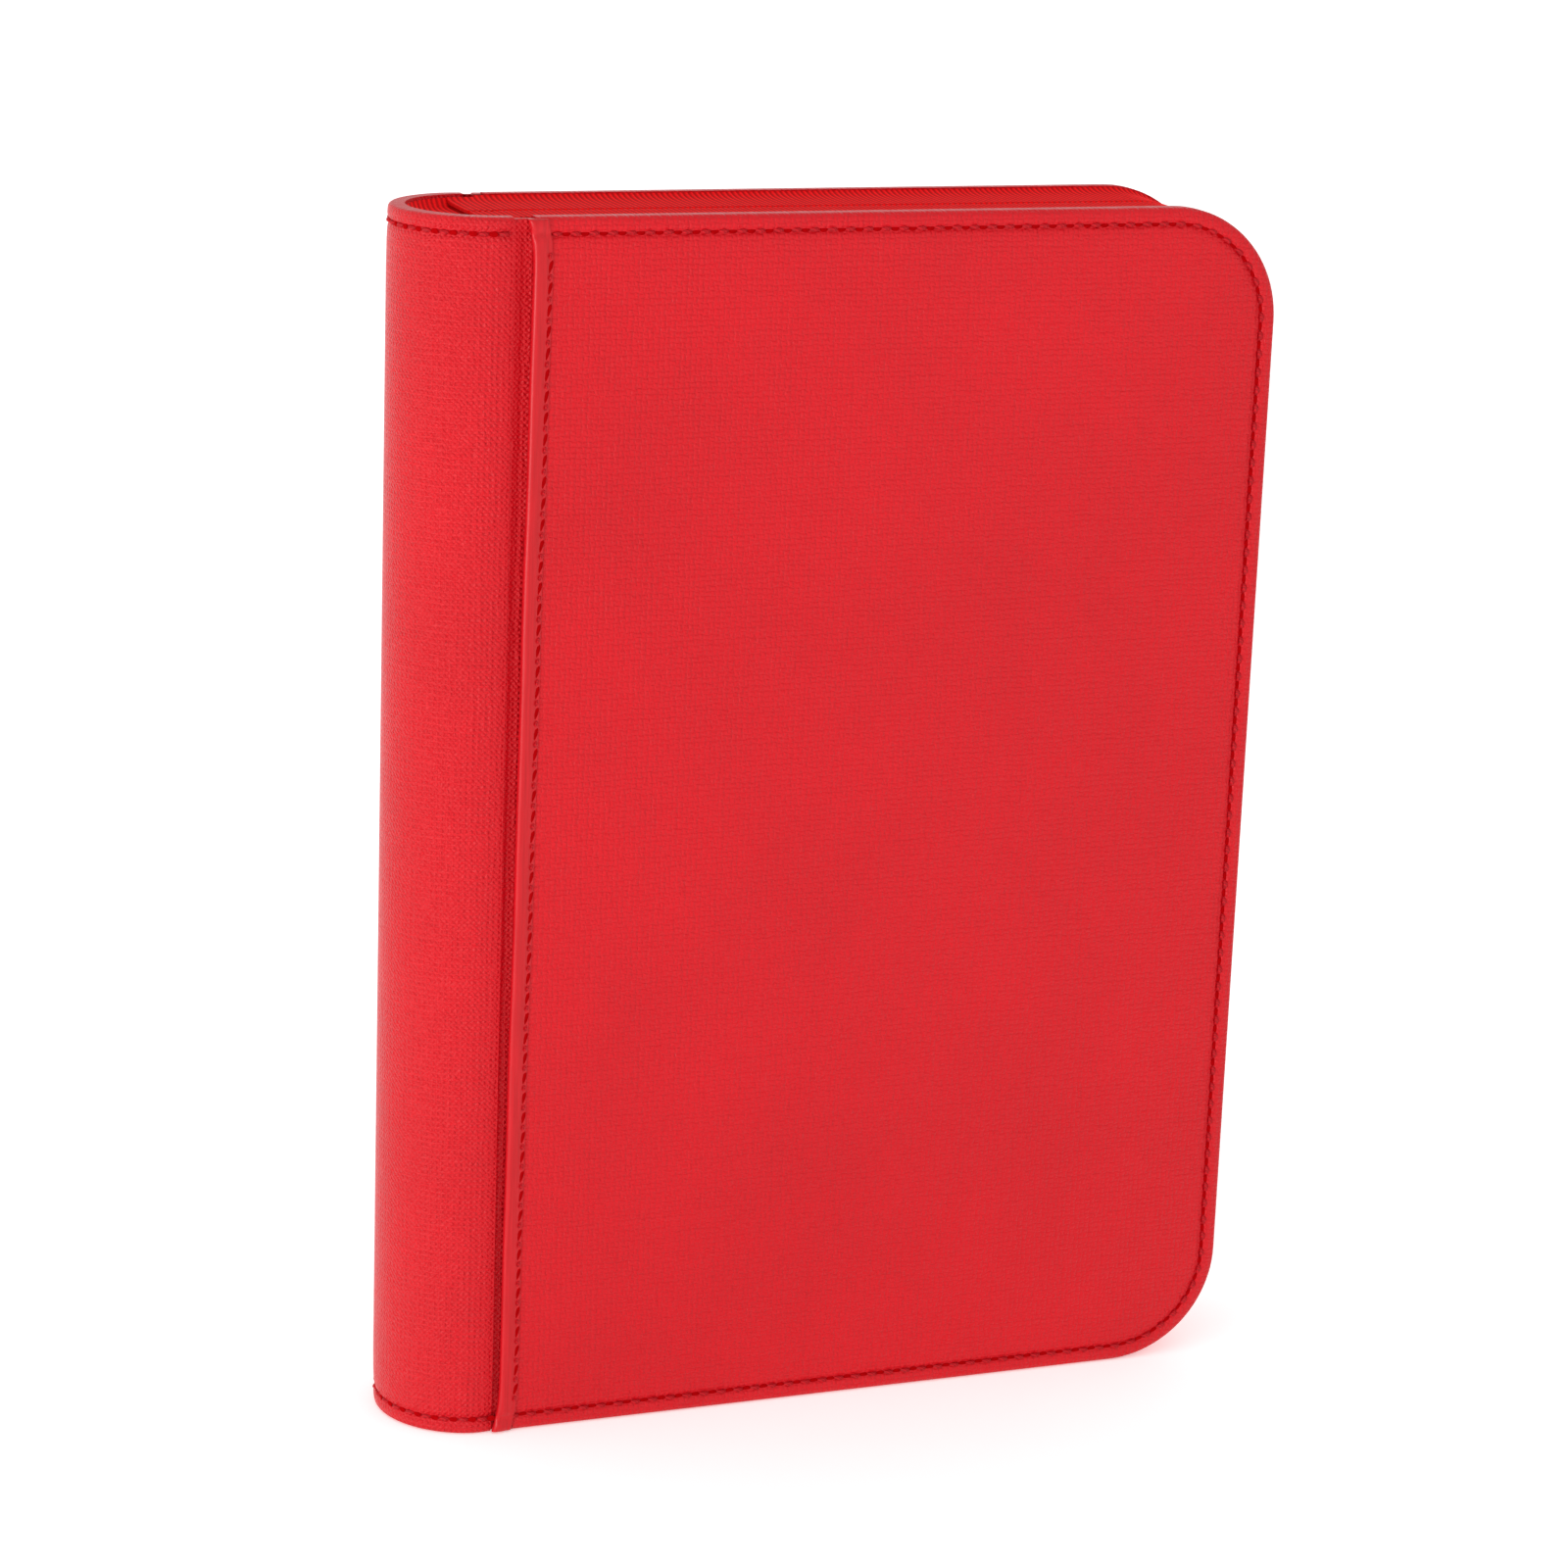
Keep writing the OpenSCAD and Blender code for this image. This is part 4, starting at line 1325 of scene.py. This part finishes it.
class BINDER_OT_stage(bpy.types.Operator):
    """Set the floor, the soft lights and the camera"""

    bl_idname = "binder.stage"
    bl_label = "Stage"

    def execute(self, context):
        self.floor()
        self.lights()
        self.camera()
        return {"FINISHED"}

    def floor(self):
        nothing_selected()
        bpy.ops.mesh.primitive_plane_add(size=30, location=(0, 0, -0.1 * MM))
        floor = fresh("studio_floor")
        paper = colours().floor
        material = started("studio_paper", Roughness=0.9, IOR=1.3, Specular_IOR_Level=0.1,
                           Base_Color=paper, Emission_Color=paper, Emission_Strength=FLOOR_GLOW)[0]
        floor.data.materials.append(material)

    def lights(self):
        scene = bpy.context.scene
        scene.view_settings.view_transform = "Standard"
        world = bpy.data.worlds.new("studio")
        world.use_nodes = True
        scene.world = world
        feed(world.node_tree, world.node_tree.nodes["Background"],
             {"Color": (1, 1, 1, 1), "Strength": ROOM_LIGHT})
        for name, (spot, spread, watts) in SOFT_BOXES.items():
            self.soft_box(name, spot, spread, watts)

    def soft_box(self, name, spot, spread, watts):
        light = bpy.data.lights.new(name, "AREA")
        light.shape = "RECTANGLE"
        light.size, light.size_y = spread
        light.energy = watts
        lamp = bpy.data.objects.new(name, light)
        lamp.location = spot
        aim = Vector((0, 0, MIDDLE_Z)) - Vector(spot)
        lamp.rotation_euler = aim.to_track_quat("-Z", "Y").to_euler()
        bpy.context.scene.collection.objects.link(lamp)

    def camera(self):
        data = bpy.data.cameras.new("camera")
        data.sensor_width = 36
        data.lens = LENS_MM
        data.clip_end = 60
        lens = bpy.data.objects.new("camera", data)
        right = Vector(CAMERA_RIGHT).normalized()
        forward = Vector(CAMERA_FORWARD).normalized()
        up = right.cross(forward).normalized()
        matrix = Matrix((right, up, -forward)).transposed().to_4x4()
        matrix.translation = Vector(CAMERA_SPOT)
        lens.matrix_world = matrix
        bpy.context.scene.collection.objects.link(lens)
        bpy.context.scene.camera = lens


STEPS = (BINDER_OT_covers, BINDER_OT_spine, BINDER_OT_zip_tapes, BINDER_OT_zip_chain,
         BINDER_OT_slider, BINDER_OT_linings, BINDER_OT_leaves, BINDER_OT_stitching,
         BINDER_OT_carried, BINDER_OT_stage)


class BINDER_PT_panel(bpy.types.Panel):
    """Lists the binder's steps and sizes"""

    bl_idname = "BINDER_PT_panel"
    bl_label = "Card Binder"
    bl_space_type = "VIEW_3D"
    bl_region_type = "UI"
    bl_category = "Binder"

    def draw(self, context):
        for step in STEPS:
            self.layout.operator(step.bl_idname)
        for group in (sizes(), colours()):
            for name in group.__annotations__:
                self.layout.prop(group, name)


CLASSES = (BinderSizes, BinderColours, BINDER_PT_panel) + STEPS


def register():
    for kind in CLASSES:
        bpy.utils.register_class(kind)
    bpy.types.Scene.binder_sizes = bpy.props.PointerProperty(type=BinderSizes)
    bpy.types.Scene.binder_colours = bpy.props.PointerProperty(type=BinderColours)


def unregister():
    del bpy.types.Scene.binder_sizes
    del bpy.types.Scene.binder_colours
    for kind in reversed(CLASSES):
        bpy.utils.unregister_class(kind)


def main():
    register()
    for step in STEPS:
        group, name = step.bl_idname.split(".")
        getattr(getattr(bpy.ops, group), name)()


if __name__ == "__main__":
    main()
